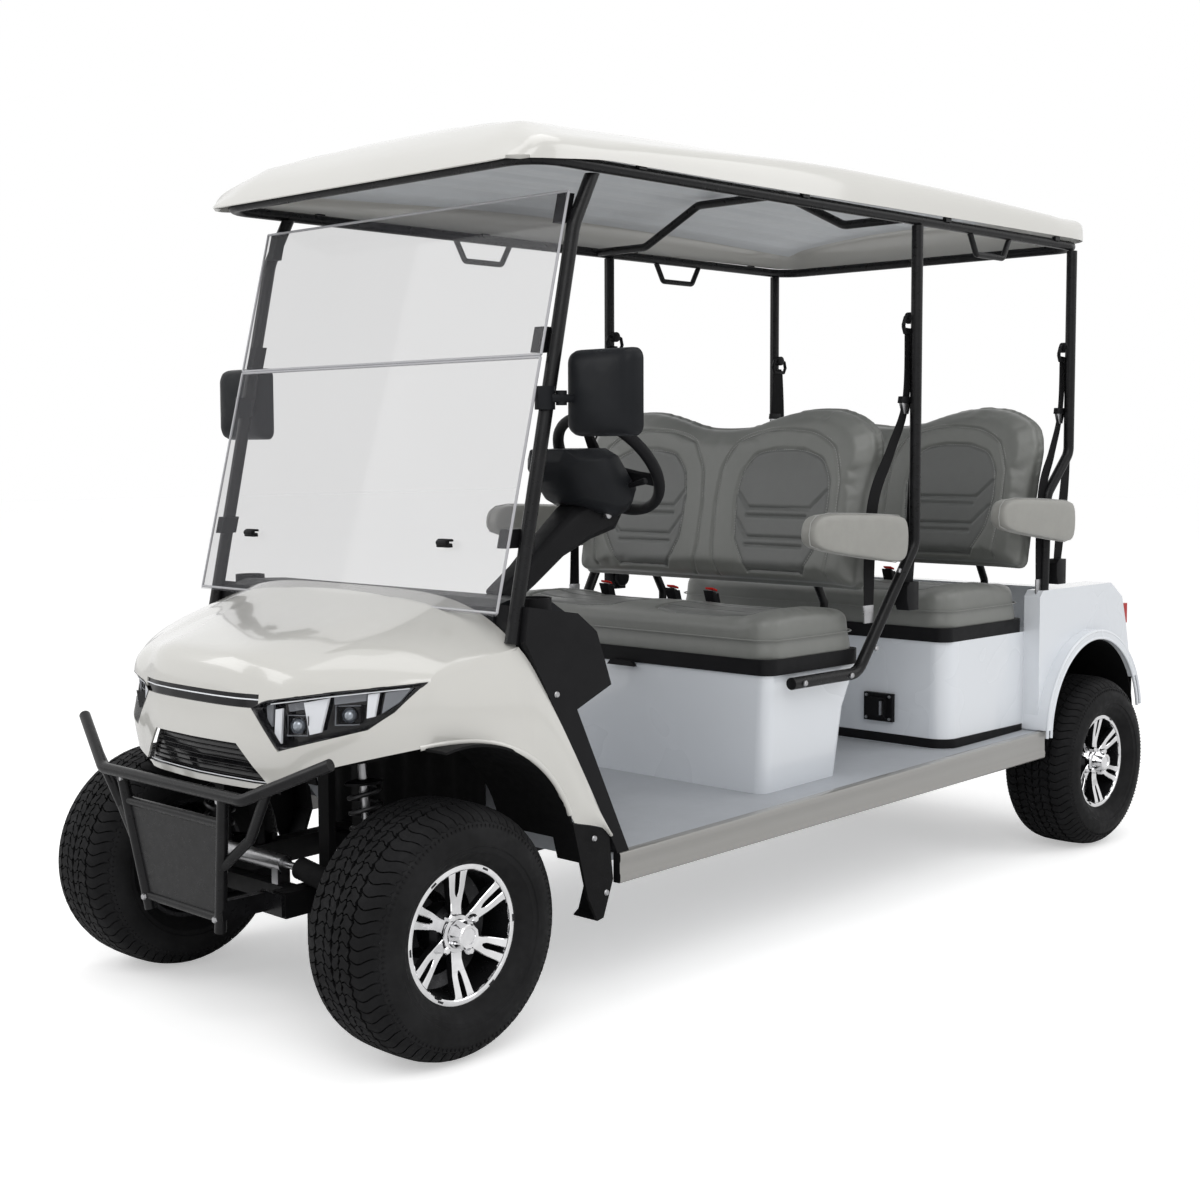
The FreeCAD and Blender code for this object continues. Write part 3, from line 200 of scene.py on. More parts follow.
def webbingFinish(name, color=(0.006, 0.006, 0.0065)):
    f = Finish(name, specularIorLevel=0.1)
    across = f.node("ShaderNodeTexWave", {"wave_type": "BANDS", "bands_direction": "Z"},
                    {"Vector": f.point(), "Scale": 260.0, "Distortion": 0.4})
    f.put("baseColor", f.blend(across, shade(color, 0.7), shade(color, 1.9)))
    f.dull(across, 0.62, 0.8, 0.0, 1.0)
    return f.bump(across, 0.5, 0.0006)


finishes = {
    "beigePaint": paintFinish("pearl_beige_paint", paint["beige"], 0.24, pearl=0.02),
    "roofPaint": paintFinish("roof_beige_gel_coat", paint["beige"], 0.34, pearl=0.03),
    "whiteBody": paintFinish("white_body_moulding", paint["white"], 0.28, pearl=0.006),
    "silverSill": paintFinish("silver_beige_sill", paint["silver"], 0.4, 0.25, 0.01),
    "blackTube": tubeFinish("black_powder_coat"),
    "webbing": webbingFinish("belt_webbing"),
    "tyreRubber": rubberFinish("tyre_rubber"),
    "wallRubber": rubberFinish("sidewall_rubber", (0.0090, 0.0090, 0.0095)),
    "seatLeather": leatherFinish("grey_seat_leather", (0.166, 0.171, 0.160)),
    "seatInsert": leatherFinish("dark_seat_insert", (0.118, 0.122, 0.118), 420.0),
    "armLeather": leatherFinish("light_armrest_leather", (0.285, 0.282, 0.262)),
    "glass": glassFinish("clear_screen", alpha=0.19),
    "lampGlass": glassFinish("lamp_cover", (0.05, 0.05, 0.06), 0.06, 0.02),
}
plastics = {  # name, colour, then roughness, grain, depth, strength and shine where they differ
    "roofLining": ("pale_roof_lining", (0.62, 0.64, 0.66), 0.42, 500.0, 0.0005, 0.2),
    "blackPlastic": ("textured_black_plastic", (0.009, 0.009, 0.010), 0.46, 500.0, 0.0003, 0.12),
    "dashPlastic": ("soft_black_dash", (0.013, 0.014, 0.016), 0.42, 400.0, 0.0003, 0.1),
    "glossBlack": ("gloss_black_trim", (0.005, 0.005, 0.006), 0.10, 1500.0, 0.0001, 0.04, 0.4),
    "liner": ("arch_liner_plastic", (0.006, 0.006, 0.0065), 0.6, 300.0, 0.0008, 0.4),
    "floorRubber": ("grey_floor_mat", (0.44, 0.46, 0.49), 0.6, 260.0, 0.0009, 0.5),
    "chassisPaint": ("chassis_black", (0.007, 0.007, 0.0075), 0.42, 600.0, 0.0003, 0.2),
    "lampWhite": ("light_guide", (0.84, 0.86, 0.9), 0.18, 300.0, 0.0002, 0.1, 0.5),
    "lampGrey": ("lamp_inner_grey", (0.20, 0.21, 0.23), 0.22, 300.0, 0.0002, 0.1, 0.5),
    "redLamp": ("red_lamp", (0.42, 0.008, 0.008), 0.14, 220.0, 0.0006, 0.3, 0.5),
    "redButton": ("red_button", (0.62, 0.02, 0.015), 0.3, 900.0),
    "gripRubber": ("wheel_grip", (0.009, 0.009, 0.010), 0.5, 500.0),
    # edges of the screen panes: a rubber edge, its pale grey colour a painted highlight along the pane edges
    "edgeRubberAndHighlight": ("screen_edge", (0.42, 0.42, 0.44), 0.2, 800.0, 0.0001, 0.05, 0.5),
    "thread": ("pale_thread", (0.42, 0.42, 0.41), 0.6, 2000.0, 0.0001, 0.2),
    "batteryCase": ("battery_case", (0.05, 0.055, 0.06), 0.5),
}
metals = {  # name, colour, then roughness, metallic share and scale of the clouds where they differ
    "chrome": ("polished_rim", (0.78, 0.78, 0.79), 0.09),
    "rimDark": ("rim_pocket_black", (0.02, 0.02, 0.022), 0.3, 0.6),
    "steel": ("plain_steel", (0.42, 0.42, 0.43), 0.32),
    "castIron": ("cast_iron", (0.06, 0.06, 0.062), 0.55, 0.7, 60.0),
    "springSteel": ("dark_spring_steel", (0.05, 0.05, 0.052), 0.42, 0.8, 40.0),
    "lensGlass": ("projector_lens", (0.35, 0.38, 0.42), 0.04, 0.7),
    "mirrorFace": ("mirror_face", (0.85, 0.87, 0.9), 0.02),
}
finishes.update({key: plasticFinish(*values) for key, values in plastics.items()})
finishes.update({key: metalFinish(*values) for key, values in metals.items()})
print("finishes made:", len(finishes))

nodeFinish = {  # each CAD node's finish, also of those that a piece below stands for
    "beigePaint": ("front_cowl",),
    "roofPaint": ("roof_canopy",),
    "whiteBody": ("seat_box_front", "rear_body"),
    "silverSill": ("sills",),
    "glossBlack": ("nose_trim",),
    "lampGlass": ("headlamps",),
    "blackTube": ("brush_guard", "front_posts", "mid_posts", "rear_posts", "roof_rails", "grab_handles",
                  "backrest_frames"),
    "dashPlastic": ("dash_panel",),
    "blackPlastic": ("side_pods", "windshield_clips", "seat_pan_front", "seat_pan_rear", "mirrors", "steering_column",
                     "charge_port", "rear_bumper", "belt_hardware"),
    "liner": ("wheel_liners",),
    "glass": ("windshield",),
    "seatLeather": ("cushion_front", "cushion_rear", "backrest_front", "backrest_rear"),
    "armLeather": ("armrests",),
    "gripRubber": ("steering_wheel",),
    "steel": ("pedals", "rack_housing", "steering_rack"),
    "redLamp": ("tail_lamps",),
    "webbing": ("belt_straps",),
    "floorRubber": ("floor_deck",),
    "chassisPaint": ("frame_rails", "frame_crossmembers", "wishbones"),
    "batteryCase": ("battery_pack",),
    "springSteel": ("coil_overs", "leaf_springs"),
    "castIron": ("rear_axle", "knuckle_left", "knuckle_right"),
    "tyreRubber": ["tyre_" + corner for corner in wheelCorners],
    "chrome": ["rim_" + corner for corner in wheelCorners],
}


def dress(node, finishName):  # gives a CAD node its finish in every slot
    data = nodes[node].data
    if not data.materials:
        data.materials.append(None)
    for index in range(len(data.materials)):
        data.materials[index] = finishes[finishName].material


for finishName, dressed in nodeFinish.items():
    for node in dressed:
        dress(node, finishName)
print("CAD nodes dressed:", sum(len(dressed) for dressed in nodeFinish.values()))


# Mesh helpers

class Build:  # collects the faces of one piece, each with the number of its finish
    def __init__(self):
        self.points = []
        self.faces = []
        self.marks = []

    def add(self, points, faces, mark=0):
        base = len(self.points)
        self.points += [tuple(p) for p in points]
        self.faces += [[base + i for i in face] for face in faces]
        self.marks += [mark] * len(faces)
        return self

    def cap(self, ring, mark=0):  # closes a ring with one face
        return self.add(ring, [list(range(len(ring)))], mark)

    def grid(self, rows, mark=0, closed=False, ring=False):
        count = len(rows[0])
        faces = []
        for i in range(len(rows) if ring else len(rows) - 1):
            k = (i + 1) % len(rows)
            for j in range(count if closed else count - 1):
                n = (j + 1) % count
                faces.append([i * count + j, i * count + n, k * count + n, k * count + j])
        return self.add([p for row in rows for p in row], faces, mark)

    def tube(self, path, radius, mark=0, sides=14, caps=True, flat=1.0):
        path = [Vector(p) for p in path]
        heads = [(b - a).normalized() for a, b in zip(path, path[1:])]
        tangents = [heads[0]] + [(a + b).normalized() for a, b in zip(heads, heads[1:])] + [heads[-1]]
        side = tangents[0].orthogonal().normalized()
        rows = []
        for index, (place, tangent) in enumerate(zip(path, tangents)):
            side = (side - tangent * side.dot(tangent)).normalized()
            other = tangent.cross(side)
            r = radius[index] if isinstance(radius, (list, tuple)) else radius
            turns = [2 * math.pi * k / sides for k in range(sides)]
            rows.append([place + side * (r * math.cos(t)) + other * (r * flat * math.sin(t)) for t in turns])
        self.grid(rows, mark, closed=True)
        if caps:
            self.cap(rows[0], mark)
            self.cap(rows[-1], mark)
        return self

    def lathe(self, profile, centre, axis, mark=0, steps=48, closed=False):  # profile of (radius, along the axis)
        centre = Vector(centre)
        axis = Vector(axis).normalized()
        side = axis.orthogonal().normalized()
        other = axis.cross(side)
        rows = []
        for k in range(steps):
            turn = 2 * math.pi * k / steps
            out = side * math.cos(turn) + other * math.sin(turn)
            rows.append([centre + out * r + axis * h for r, h in profile])
        return self.grid(rows, mark, closed=closed, ring=True)

    def slab(self, outline, depth, mark=0):
        low = [Vector(p) for p in outline]
        high = [p + Vector(depth) for p in low]
        count = len(low)
        faces = [list(range(count)), list(range(2 * count - 1, count - 1, -1))]
        faces += [[i, i + count, (i + 1) % count + count, (i + 1) % count] for i in range(count)]
        return self.add(low + high, faces, mark)

    def block(self, low, high, mark=0):
        a, b = Vector(low), Vector(high)
        outline = [(a.x, a.y, a.z), (b.x, a.y, a.z), (b.x, b.y, a.z), (a.x, b.y, a.z)]
        return self.slab(outline, (0, 0, b.z - a.z), mark)

    def mirrored(self):
        count = len(self.points)
        self.points += [(x, -y, z) for x, y, z in self.points]
        self.faces += [[i + count for i in reversed(face)] for face in self.faces]
        self.marks += self.marks
        return self

    def join(self, other):
        base = len(self.points)
        self.points += other.points
        self.faces += [[base + i for i in face] for face in other.faces]
        self.marks += other.marks
        return self

    def mesh(self, name, weld=0.0002):
        mesh = bpy.data.meshes.new(name)
        mesh.from_pydata(self.points, [], self.faces)
        mesh.polygons.foreach_set("material_index", self.marks)
        shape = bmesh.new()
        shape.from_mesh(mesh)
        bmesh.ops.remove_doubles(shape, verts=shape.verts, dist=weld)
        bmesh.ops.recalc_face_normals(shape, faces=shape.faces)
        shape.to_mesh(mesh)
        shape.free()
        return mesh


def linked(name, data):
    made = bpy.data.objects.new(name, data)
    bpy.context.scene.collection.objects.link(made)
    return made


def evaluated(made):  # the object's mesh with its modifiers applied
    return bpy.data.meshes.new_from_object(made.evaluated_get(bpy.context.evaluated_depsgraph_get()))


def plain(made):  # the same for an object that isn't needed any more
    result = evaluated(made)
    bpy.data.objects.remove(made)
    return result


bevelAngle, bevelSegments = 35, 2


def piece(name, build, finishNames, body="chassis", replaced=(), bevel=0.0, subdivide=0, thick=0.0,
          cutters=(), angle=32, weld=0.0002):
    mesh = build.mesh(name, weld)
    for finishName in finishNames:
        mesh.materials.append(finishes[finishName].material)
    made = linked(name, mesh)
    if thick:
        shell = made.modifiers.new("thick", "SOLIDIFY")
        shell.thickness = thick
        shell.offset = -1
    for cutter in cutters:
        cut = made.modifiers.new("cut", "BOOLEAN")
        cut.object = cutter
        cut.solver = "EXACT"
    if bevel:
        soft = made.modifiers.new("soft", "BEVEL")
        soft.width = bevel
        soft.segments = bevelSegments
        soft.limit_method = "ANGLE"
        soft.angle_limit = math.radians(bevelAngle)
    if subdivide:
        finer = made.modifiers.new("finer", "SUBSURF")
        finer.levels = finer.render_levels = subdivide
    if made.modifiers:
        final = evaluated(made)
        made.modifiers.clear()
        made.data = final
        for cutter in cutters:
            bpy.data.objects.remove(cutter)
    made.data.shade_smooth()
    made.data.set_sharp_from_angle(angle=math.radians(angle))
    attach(made, body)
    if replaced:
        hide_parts(*replaced)
    return made


def cutterFrom(build):
    return linked("cutter", build.mesh("cutter"))


def along(table, value):  # straight-line reading of a table of (value, result)
    for (a, low), (b, high) in zip(table, table[1:]):
        if value <= b:
            share = max(0.0, (value - a) / (b - a)) if b > a else 0.0
            return low + (high - low) * share
    return table[-1][1]


def smoothstep(low, high, value):
    share = min(1.0, max(0.0, (value - low) / (high - low)))
    return share * share * (3 - 2 * share)


def evenly(low, high, count):  # numbers from low to high, both included
    return [low + (high - low) * i / (count - 1) for i in range(count)]


finePerSpan = 12


def resample(points, count, smooth=True):  # evenly spaced points along a curve through the given ones
    points = [Vector(p) for p in points]
    fine = []
    for index in range(len(points) - 1):
        a = points[max(index - 1, 0)]
        b, c = points[index], points[index + 1]
        d = points[min(index + 2, len(points) - 1)]
        for step in range(finePerSpan):
            t = step / finePerSpan
            if smooth:
                fine.append(0.5 * (2 * b + (c - a) * t + (2 * a - 5 * b + 4 * c - d) * t ** 2
                                   + (3 * b - a - 3 * c + d) * t ** 3))
            else:
                fine.append(b.lerp(c, t))
    fine.append(points[-1])
    lengths = [0.0]
    for a, b in zip(fine, fine[1:]):
        lengths.append(lengths[-1] + (b - a).length)
    result = []
    place = 0
    for step in range(count):
        target = lengths[-1] * step / (count - 1)
        while place < len(fine) - 2 and lengths[place + 1] < target:
            place += 1
        span = lengths[place + 1] - lengths[place]
        share = (target - lengths[place]) / span if span else 0
        result.append(fine[place].lerp(fine[place + 1], min(1, max(0, share))))
    return result


def roundedRing(low, high, corner, steps=7, grow=0.0):  # (u, v) round a rectangle with round corners
    (u0, v0), (u1, v1) = low, high
    ring = []
    for cu, cv, start in ((u1 - corner, v1 - corner, 0), (u0 + corner, v1 - corner, 90),
                          (u0 + corner, v0 + corner, 180), (u1 - corner, v0 + corner, 270)):
        for step in range(steps):
            turn = math.radians(start + 90 / (steps - 1) * step)
            ring.append((cu + (corner - grow) * math.cos(turn), cv + (corner - grow) * math.sin(turn)))
    return ring


def nodeTree(name, sockets, kinds, modes, links):  # a Geometry Nodes tree, and its nodes by their short names
    tree = bpy.data.node_groups.new(name, "GeometryNodeTree")
    for socket, kind in sockets:
        tree.interface.new_socket(socket, in_out="INPUT", socket_type="NodeSocket" + kind)
    tree.interface.new_socket("Geometry", in_out="OUTPUT", socket_type="NodeSocketGeometry")
    made = {key: tree.nodes.new(kind) for key, kind in kinds.items()}
    for key, (setting, value) in modes.items():
        setattr(made[key], setting, value)
    for start, output, end, entry in links:
        tree.links.new(made[start].outputs[output], made[end].inputs[entry])
    return tree, made


def runNodes(tree, values):  # evaluates a node tree on an empty mesh and gives the plain mesh
    holder = linked("holder", bpy.data.meshes.new("holder"))
    modifier = holder.modifiers.new("nodes", "NODES")
    modifier.node_group = tree
    for item in tree.interface.items_tree:
        if item.in_out == "INPUT" and item.name in values:
            modifier[item.identifier] = values[item.name]
    return plain(holder)


def addMesh(build, mesh, mark=0):
    return build.add([v.co[:] for v in mesh.vertices], [list(p.vertices) for p in mesh.polygons], mark)


# Bonnet and front wings

cowl = {
    "wall": 0.005, "columns": (34, 12, 24), "rows": 14, "bulge": 0.010, "noseBulge": 0.9, "dome": 0.006, "lip": 0.008,
    "hoodEnd": 0.20,
    "crease": ((-0.275, 0, 0.829), (-0.2735, 0.09, 0.828), (-0.266, 0.167, 0.826), (-0.246, 0.238, 0.824),
               (-0.221, 0.335, 0.829), (-0.172, 0.40, 0.838), (-0.107, 0.488, 0.850), (-0.028, 0.571, 0.863)),
    "shoulder": ((-0.028, 0.571, 0.863), (0.06, 0.592, 0.886), (0.13, 0.604, 0.903), (0.20, 0.612, 0.919)),
    "strip": ((0.20, 0.612, 0.919), (0.24, 0.626, 0.8585), (0.34, 0.638, 0.683), (0.478, 0.640, 0.439)),
    "edge": ((-0.264, 0, 0.598), (-0.258, 0.10, 0.598), (-0.250, 0.20, 0.600), (-0.246, 0.225, 0.609),
             (-0.226, 0.315, 0.636), (-0.166, 0.41, 0.665), (-0.111, 0.481, 0.686), (-0.045, 0.555, 0.707)),
    "archFront": ((-12.5, 0.555), (-4, 0.588), (7, 0.611), (18, 0.627), (30, 0.634)),  # degrees from the top, y
    "archBack": ((30, 0.637), (40, 0.637), (50, 0.637), (60, 0.637), (66.5, 0.637)),
    "flap": ((0.352, 0.638, 0.489), (0.40, 0.639, 0.476), (0.447, 0.64, 0.462), (0.472, 0.64, 0.439)),
    "steep": ((0, 0), (0.008, 0.16), (0.022, 0.29), (0.05, 0.375), (0.1, 0.42), (0.21, 0.475), (0.4, 0.57),
              (0.58, 0.66), (0.8, 0.82), (1, 1)),
    "gentle": ((0, 0), (0.02, 0.06), (0.05, 0.13), (0.1, 0.22), (0.21, 0.38), (0.4, 0.57), (0.58, 0.71),
               (0.8, 0.87), (1, 1)),
    "hoodRows": (0, 0.004, 0.010, 0.018, 0.03, 0.045, 0.065, 0.09, 0.13, 0.18, 0.25, 0.33, 0.42, 0.52, 0.62, 0.72,
                 0.82, 0.91, 1),
    "lamp": ((0.243, 0.803), (0.262, 0.809), (0.398, 0.832), (0.488, 0.845), (0.566, 0.856), (0.519, 0.790),
             (0.473, 0.750), (0.290, 0.694), (0.215, 0.787)),
}
frontArch = {"place": 0.030, "rise": 0.370, "radius": 0.345}
rearEdge = {"height": 1.031, "drop": 0.117, "half": 0.612, "power": 4.2}


def archPoint(turn, y):  # a point on the front wheel arch, turned from its top
    return (frontArch["place"] + frontArch["radius"] * math.sin(turn), y,
            frontArch["rise"] + frontArch["radius"] * math.cos(turn))


def rearEdgeZ(y):
    return rearEdge["height"] - rearEdge["drop"] * (abs(y) / rearEdge["half"]) ** rearEdge["power"]


def hoodHeight(share, y, low, high):
    mix = smoothstep(0.10, 0.50, y)
    rise = along(cowl["steep"], share) * (1 - mix) + along(cowl["gentle"], share) * mix
    dome = cowl["dome"] * math.sin(math.pi * share) * (1 - smoothstep(0.22, 0.31, y))
    return low + (high - low) * rise + dome


def cowlSkin():
    first, second, third = cowl["columns"]
    nose = resample(cowl["crease"], first)
    shoulder = resample(cowl["shoulder"], second)
    crest = nose + shoulder[1:] + resample(cowl["strip"], third)[1:]
    over = [Vector(archPoint(math.radians(a), y)) for a, y in cowl["archFront"]]
    back = [archPoint(math.radians(a), y) for a, y in cowl["archBack"]]
    below = resample(cowl["edge"], first) + resample(over, second)[1:]
    below += resample(back + list(cowl["flap"]), third)[1:]
    stripStart = first + second - 2
    rows = []
    for step in range(cowl["rows"] + 1):
        share = step / cowl["rows"]
        row = []
        for index, (top, low) in enumerate(zip(crest, below)):
            after = crest[min(index + 1, stripStart)] if index < stripStart else crest[index]
            ahead = after - crest[max(index - 1, 0)]
            outward = Vector((-1, 0, 0))
            if index >= stripStart:
                outward = Vector((0, 1, 0))
            elif index and ahead.length > 0:
                outward = Vector((-ahead.y, ahead.x, 0)).normalized()
            amount = cowl["bulge"] * math.sin(math.pi * share)
            if index < first:
                amount *= cowl["noseBulge"]
            spot = top.lerp(low, share) + outward * amount
            row.append(at(spot.x, spot.y, spot.z))
        rows.append(row)
    hood = []
    for share in cowl["hoodRows"]:
        row = []
        for point in nose + shoulder[1:]:
            y = point.y
            station = point.x + (cowl["hoodEnd"] - point.x) * share
            row.append(at(station, y, hoodHeight(share, y, point.z, rearEdgeZ(y))))
        hood.append(row)
    skin = Build().grid(rows).grid(hood)
    return skin.mirrored(), resample(over + [Vector(p) for p in back[1:]], 40)


noseLine = [(p[1], -p[0]) for p in cowl["crease"]]
grille = {"low": 0.252, "top": 0.166, "foot": 0.613, "head": 0.703, "depth": 0.016, "slats": 7, "slat": 0.0019}
bar = {"half": 0.232, "low": 0.787, "high": 0.819, "depth": 0.004}

skin, archRim = cowlSkin()
lampCut = Build().slab([(axleX, y, z) for y, z in cowl["lamp"]], (0.4, 0, 0)).mirrored()
noseCut = Build().slab([(axleX + 0.1, y, z) for y, z in (
    (-grille["low"], grille["foot"]), (-grille["top"], grille["head"]),
    (grille["top"], grille["head"]), (grille["low"], grille["foot"]))], (0.3, 0, 0))
noseCut.block((axleX + 0.1, -bar["half"], bar["low"]), (axleX + 0.4, bar["half"], bar["high"]))
piece("front_cowl_skin", skin, ["beigePaint"], replaced=["front_cowl"], thick=cowl["wall"],
      cutters=[cutterFrom(lampCut), cutterFrom(noseCut)], angle=26, weld=0.0008)
lip = Build()
lip.tube([at(p.x, p.y - 0.004, p.z + 0.002) for p in archRim], cowl["lip"], sides=10)
piece("arch_lips", lip.mirrored(), ["beigePaint"], angle=60)
print("front cowl made")


# Wheels

ringNodes, ringParts = nodeTree(  # copies a shape round the Y axis
    "ring_of_copies", (("Shape", "Object"), ("Count", "Int"), ("Start", "Float"), ("Finish", "Material")),
    {"source": "NodeGroupInput", "points": "GeometryNodePoints", "shape": "GeometryNodeObjectInfo",
     "index": "GeometryNodeInputIndex", "step": "ShaderNodeMath", "angle": "ShaderNodeMath",
     "turn": "ShaderNodeCombineXYZ", "copies": "GeometryNodeInstanceOnPoints", "real": "GeometryNodeRealizeInstances",
     "finish": "GeometryNodeSetMaterial", "result": "NodeGroupOutput"},
    {"step": ("operation", "DIVIDE"), "angle": ("operation", "MULTIPLY_ADD")},
    (("source", "Count", "points", "Count"), ("source", "Shape", "shape", "Object"), ("source", "Count", "step", 1),
     ("index", 0, "angle", 0), ("step", 0, "angle", 1), ("source", "Start", "angle", 2), ("angle", 0, "turn", "Y"),
     ("points", 0, "copies", "Points"), ("shape", "Geometry", "copies", "Instance"),
     ("turn", 0, "copies", "Rotation"), ("copies", 0, "real", 0), ("real", 0, "finish", "Geometry"),
     ("source", "Finish", "finish", "Material"),
     ("finish", 0, "result", 0)))
ringParts["step"].inputs[0].default_value = 2 * math.pi


def ringOf(build, shape, count, mark=0, start=0.0):
    holder = linked("shape", shape.mesh("shape", 0.00001))
    values = {"Shape": holder, "Count": count, "Start": start, "Finish": finishes["rimDark"].material}
    addMesh(build, runNodes(ringNodes, values), mark)
    bpy.data.objects.remove(holder)
    return build


tread = {
    "blocks": 62, "depth": 0.0085, "gap": 0.0036, "across": 7, "columns": 5, "steps": 124,
    "crown": ((0, 0.2915), (0.03, 0.2912), (0.062, 0.2895), (0.085, 0.2845), (0.100, 0.2765), (0.112, 0.266),
              (0.122, 0.2525)),
    "shoulder": ((0.113, 0.2610), (0.1175, 0.2560)),
    "rows": (  # inner edge, outer edge, sideways wave, lengthways bend
        (0.0035, 0.0235, 0.0025, 0.0045), (0.0285, 0.0555, 0.0035, -0.005), (0.0625, 0.1185, 0.003, 0.0075)),
    "wall": ((0.121, 0.2535), (0.1268, 0.2385), (0.1318, 0.2255), (0.1330, 0.2140), (0.1312, 0.2035),
             (0.1285, 0.2015), (0.1262, 0.1900), (0.1230, 0.1875), (0.1150, 0.1745), (0.1075, 0.1665),
             (0.1010, 0.1625), (0.0960, 0.1560), (0.0912, 0.1515)),
    "rib": {"half": 0.0012, "middle": 0.1196, "inner": 0.004, "outer": 0.0052, "low": 0.2415, "high": 0.252},
}


def treadBlock(row, side):
    low, high, wave, bend = row
    pitch = 2 * math.pi / tread["blocks"]
    tops, feet = [], []
    for v in evenly(0, 1, tread["across"]):
        top, foot = [], []
        for u in evenly(0, 1, tread["columns"]):
            y = low + (high - low) * v + wave * math.sin(2 * math.pi * u)
            radius = along(tread["crown"], y)
            width = pitch * radius - tread["gap"]
            turn = ((u - 0.5) * width + bend * math.sin(2 * math.pi * v * 0.8)) / radius
            for ring, r in ((top, radius), (foot, radius - tread["depth"] * 1.25)):
                ring.append((r * math.sin(turn), y * side, r * math.cos(turn)))
        tops.append(top)
        feet.append(foot)
    build = Build().grid(tops)
    for end in (0, -1):
        build.grid([tops[end], feet[end]])
    for end in (0, -1):
        build.grid([[row[end] for row in tops], [row[end] for row in feet]])
    return build


def tyreShape():
    half = [(y, r - tread["depth"]) for y, r in tread["crown"][:-2]] + list(tread["shoulder"] + tread["wall"])
    section = [(r, y) for y, r in half] + [(r, -y) for y, r in reversed(half)]
    build = Build().lathe(section, (0, 0, 0), (0, 1, 0), 0, tread["steps"], closed=True)
    for row in tread["rows"]:
        for side in (1, -1):
            ringOf(build, treadBlock(row, side), tread["blocks"], 1)
    rib = tread["rib"]
    for side in (1, -1):  # fine ribs on the shoulder, just below the blocks
        middle = rib["middle"] * side
        shape = Build().block((-rib["half"], middle - rib["inner"], rib["low"]),
                              (rib["half"], middle + rib["outer"], rib["high"]))
        ringOf(build, shape, tread["steps"], 1, 0.01)
    return build


alloy = {
    "spokes": 6, "depth": 0.020, "edge": 0.0016, "swirl": 0.06,
    "face": ((0.028, 0.077), (0.06, 0.0765), (0.09, 0.0815), (0.12, 0.089), (0.148, 0.0955)),
    "stem": ((0.030, -0.0165, 0.0165), (0.055, -0.0150, 0.0150), (0.072, -0.0165, 0.0165), (0.084, -0.0185, 0.0185)),
    "prong": ((0.084, 0.0010, 0.0185), (0.090, 0.0042, 0.0200), (0.100, 0.0060, 0.0215), (0.115, 0.0068, 0.0235),
              (0.132, 0.0072, 0.0255), (0.144, 0.0075, 0.0290), (0.1505, 0.0060, 0.0360)),
    "notch": ((-0.009, 0.0987, 0.1505), (0.009, 0.0987, 0.1505), (0.0075, 0.0987, 0.1555), (-0.0075, 0.0987, 0.1555)),
    "nuts": 4, "nutCircle": 0.0508, "nutStart": math.radians(33),
    "nut": ((0.0001, 0.0965), (0.0070, 0.0960), (0.0098, 0.0925), (0.0105, 0.0760)),
    "valve": ((0, 0.080, 0.152), (0.0, 0.092, 0.149), (0.0, 0.106, 0.1455)),
    "turned": (  # finish, steps, then the profile as (radius, place along the axle)
        (0, 96, ((0.1435, 0.0915), (0.1452, 0.0960), (0.1475, 0.0978), (0.1525, 0.0984), (0.1580, 0.0982),
                 (0.1608, 0.0968), (0.1614, 0.0940), (0.1600, 0.0915), (0.1512, 0.0905))),
        (1, 72, ((0.1512, 0.0905), (0.1512, -0.0905), (0.1614, -0.0915), (0.1614, -0.098), (0.1480, -0.098),
                 (0.1435, -0.0915))),
        (1, 72, ((0.1435, 0.0915), (0.1405, 0.070), (0.1385, 0.010), (0.1400, -0.060), (0.1435, -0.0915))),
        (1, 60, ((0.0205, -0.06), (0.060, -0.06), (0.078, -0.035), (0.100, -0.03), (0.112, 0.0), (0.1385, 0.012))),
        (1, 48, ((0.062, 0.012), (0.060, 0.052), (0.050, 0.0660), (0.0205, 0.0675))),
        (0, 60, ((0.0300, 0.058), (0.0310, 0.0765), (0.0420, 0.0775), (0.0432, 0.0800), (0.0420, 0.0822),
                 (0.0335, 0.0835))),
        (2, 10, ((0.0335, 0.0830), (0.0325, 0.0965), (0.0300, 0.1080), (0.0290, 0.1175), (0.0265, 0.1205),
                 (0.0200, 0.1195), (0.0185, 0.1165), (0.0001, 0.1160)))),
}


def spokeStrip(faces, sides, table, side=1):
    rows = []
    for radius, a, b in resample(table, 9):
        low, high = sorted((a * side, b * side))
        y = along(alloy["face"], radius)
        foot, edge = y - alloy["depth"], alloy["edge"]
        section = [(low, foot), (low, y - edge), (low + edge, y), (high - edge, y), (high, y - edge), (high, foot)]
        turn = alloy["swirl"] * smoothstep(0.04, 0.15, radius)
        rows.append([(t * math.cos(turn) + radius * math.sin(turn), h, radius * math.cos(turn) - t * math.sin(turn))
                     for t, h in section])
    faces.grid([row[1:5] for row in rows])
    sides.grid([row[0:2] for row in rows])
    sides.grid([row[4:6] for row in rows])


def rimShape():
    build = Build()
    for mark, steps, profile in alloy["turned"]:
        build.lathe(profile, (0, 0, 0), (0, 1, 0), mark, steps)
    faces, sides = Build(), Build()
    for table, side in ((alloy["stem"], 1), (alloy["prong"], 1), (alloy["prong"], -1)):
        spokeStrip(faces, sides, table, side)
    ringOf(build, faces, alloy["spokes"], 0)
    ringOf(build, sides, alloy["spokes"], 1)
    notch = Build().slab(alloy["notch"], (0, -0.003, 0))
    ringOf(build, notch, alloy["spokes"], 1, math.pi / alloy["spokes"] + alloy["swirl"])
    nut = Build().lathe(alloy["nut"], (0, 0, 0), (0, 1, 0), 0, 6)
    nut.points = [(x, y, z + alloy["nutCircle"]) for x, y, z in nut.points]
    ringOf(build, nut, alloy["nuts"], 2, alloy["nutStart"])
    ringOf(build, Build().tube(alloy["valve"], 0.0035, 0, 8), 1, 3, math.pi * 0.83)
    return build


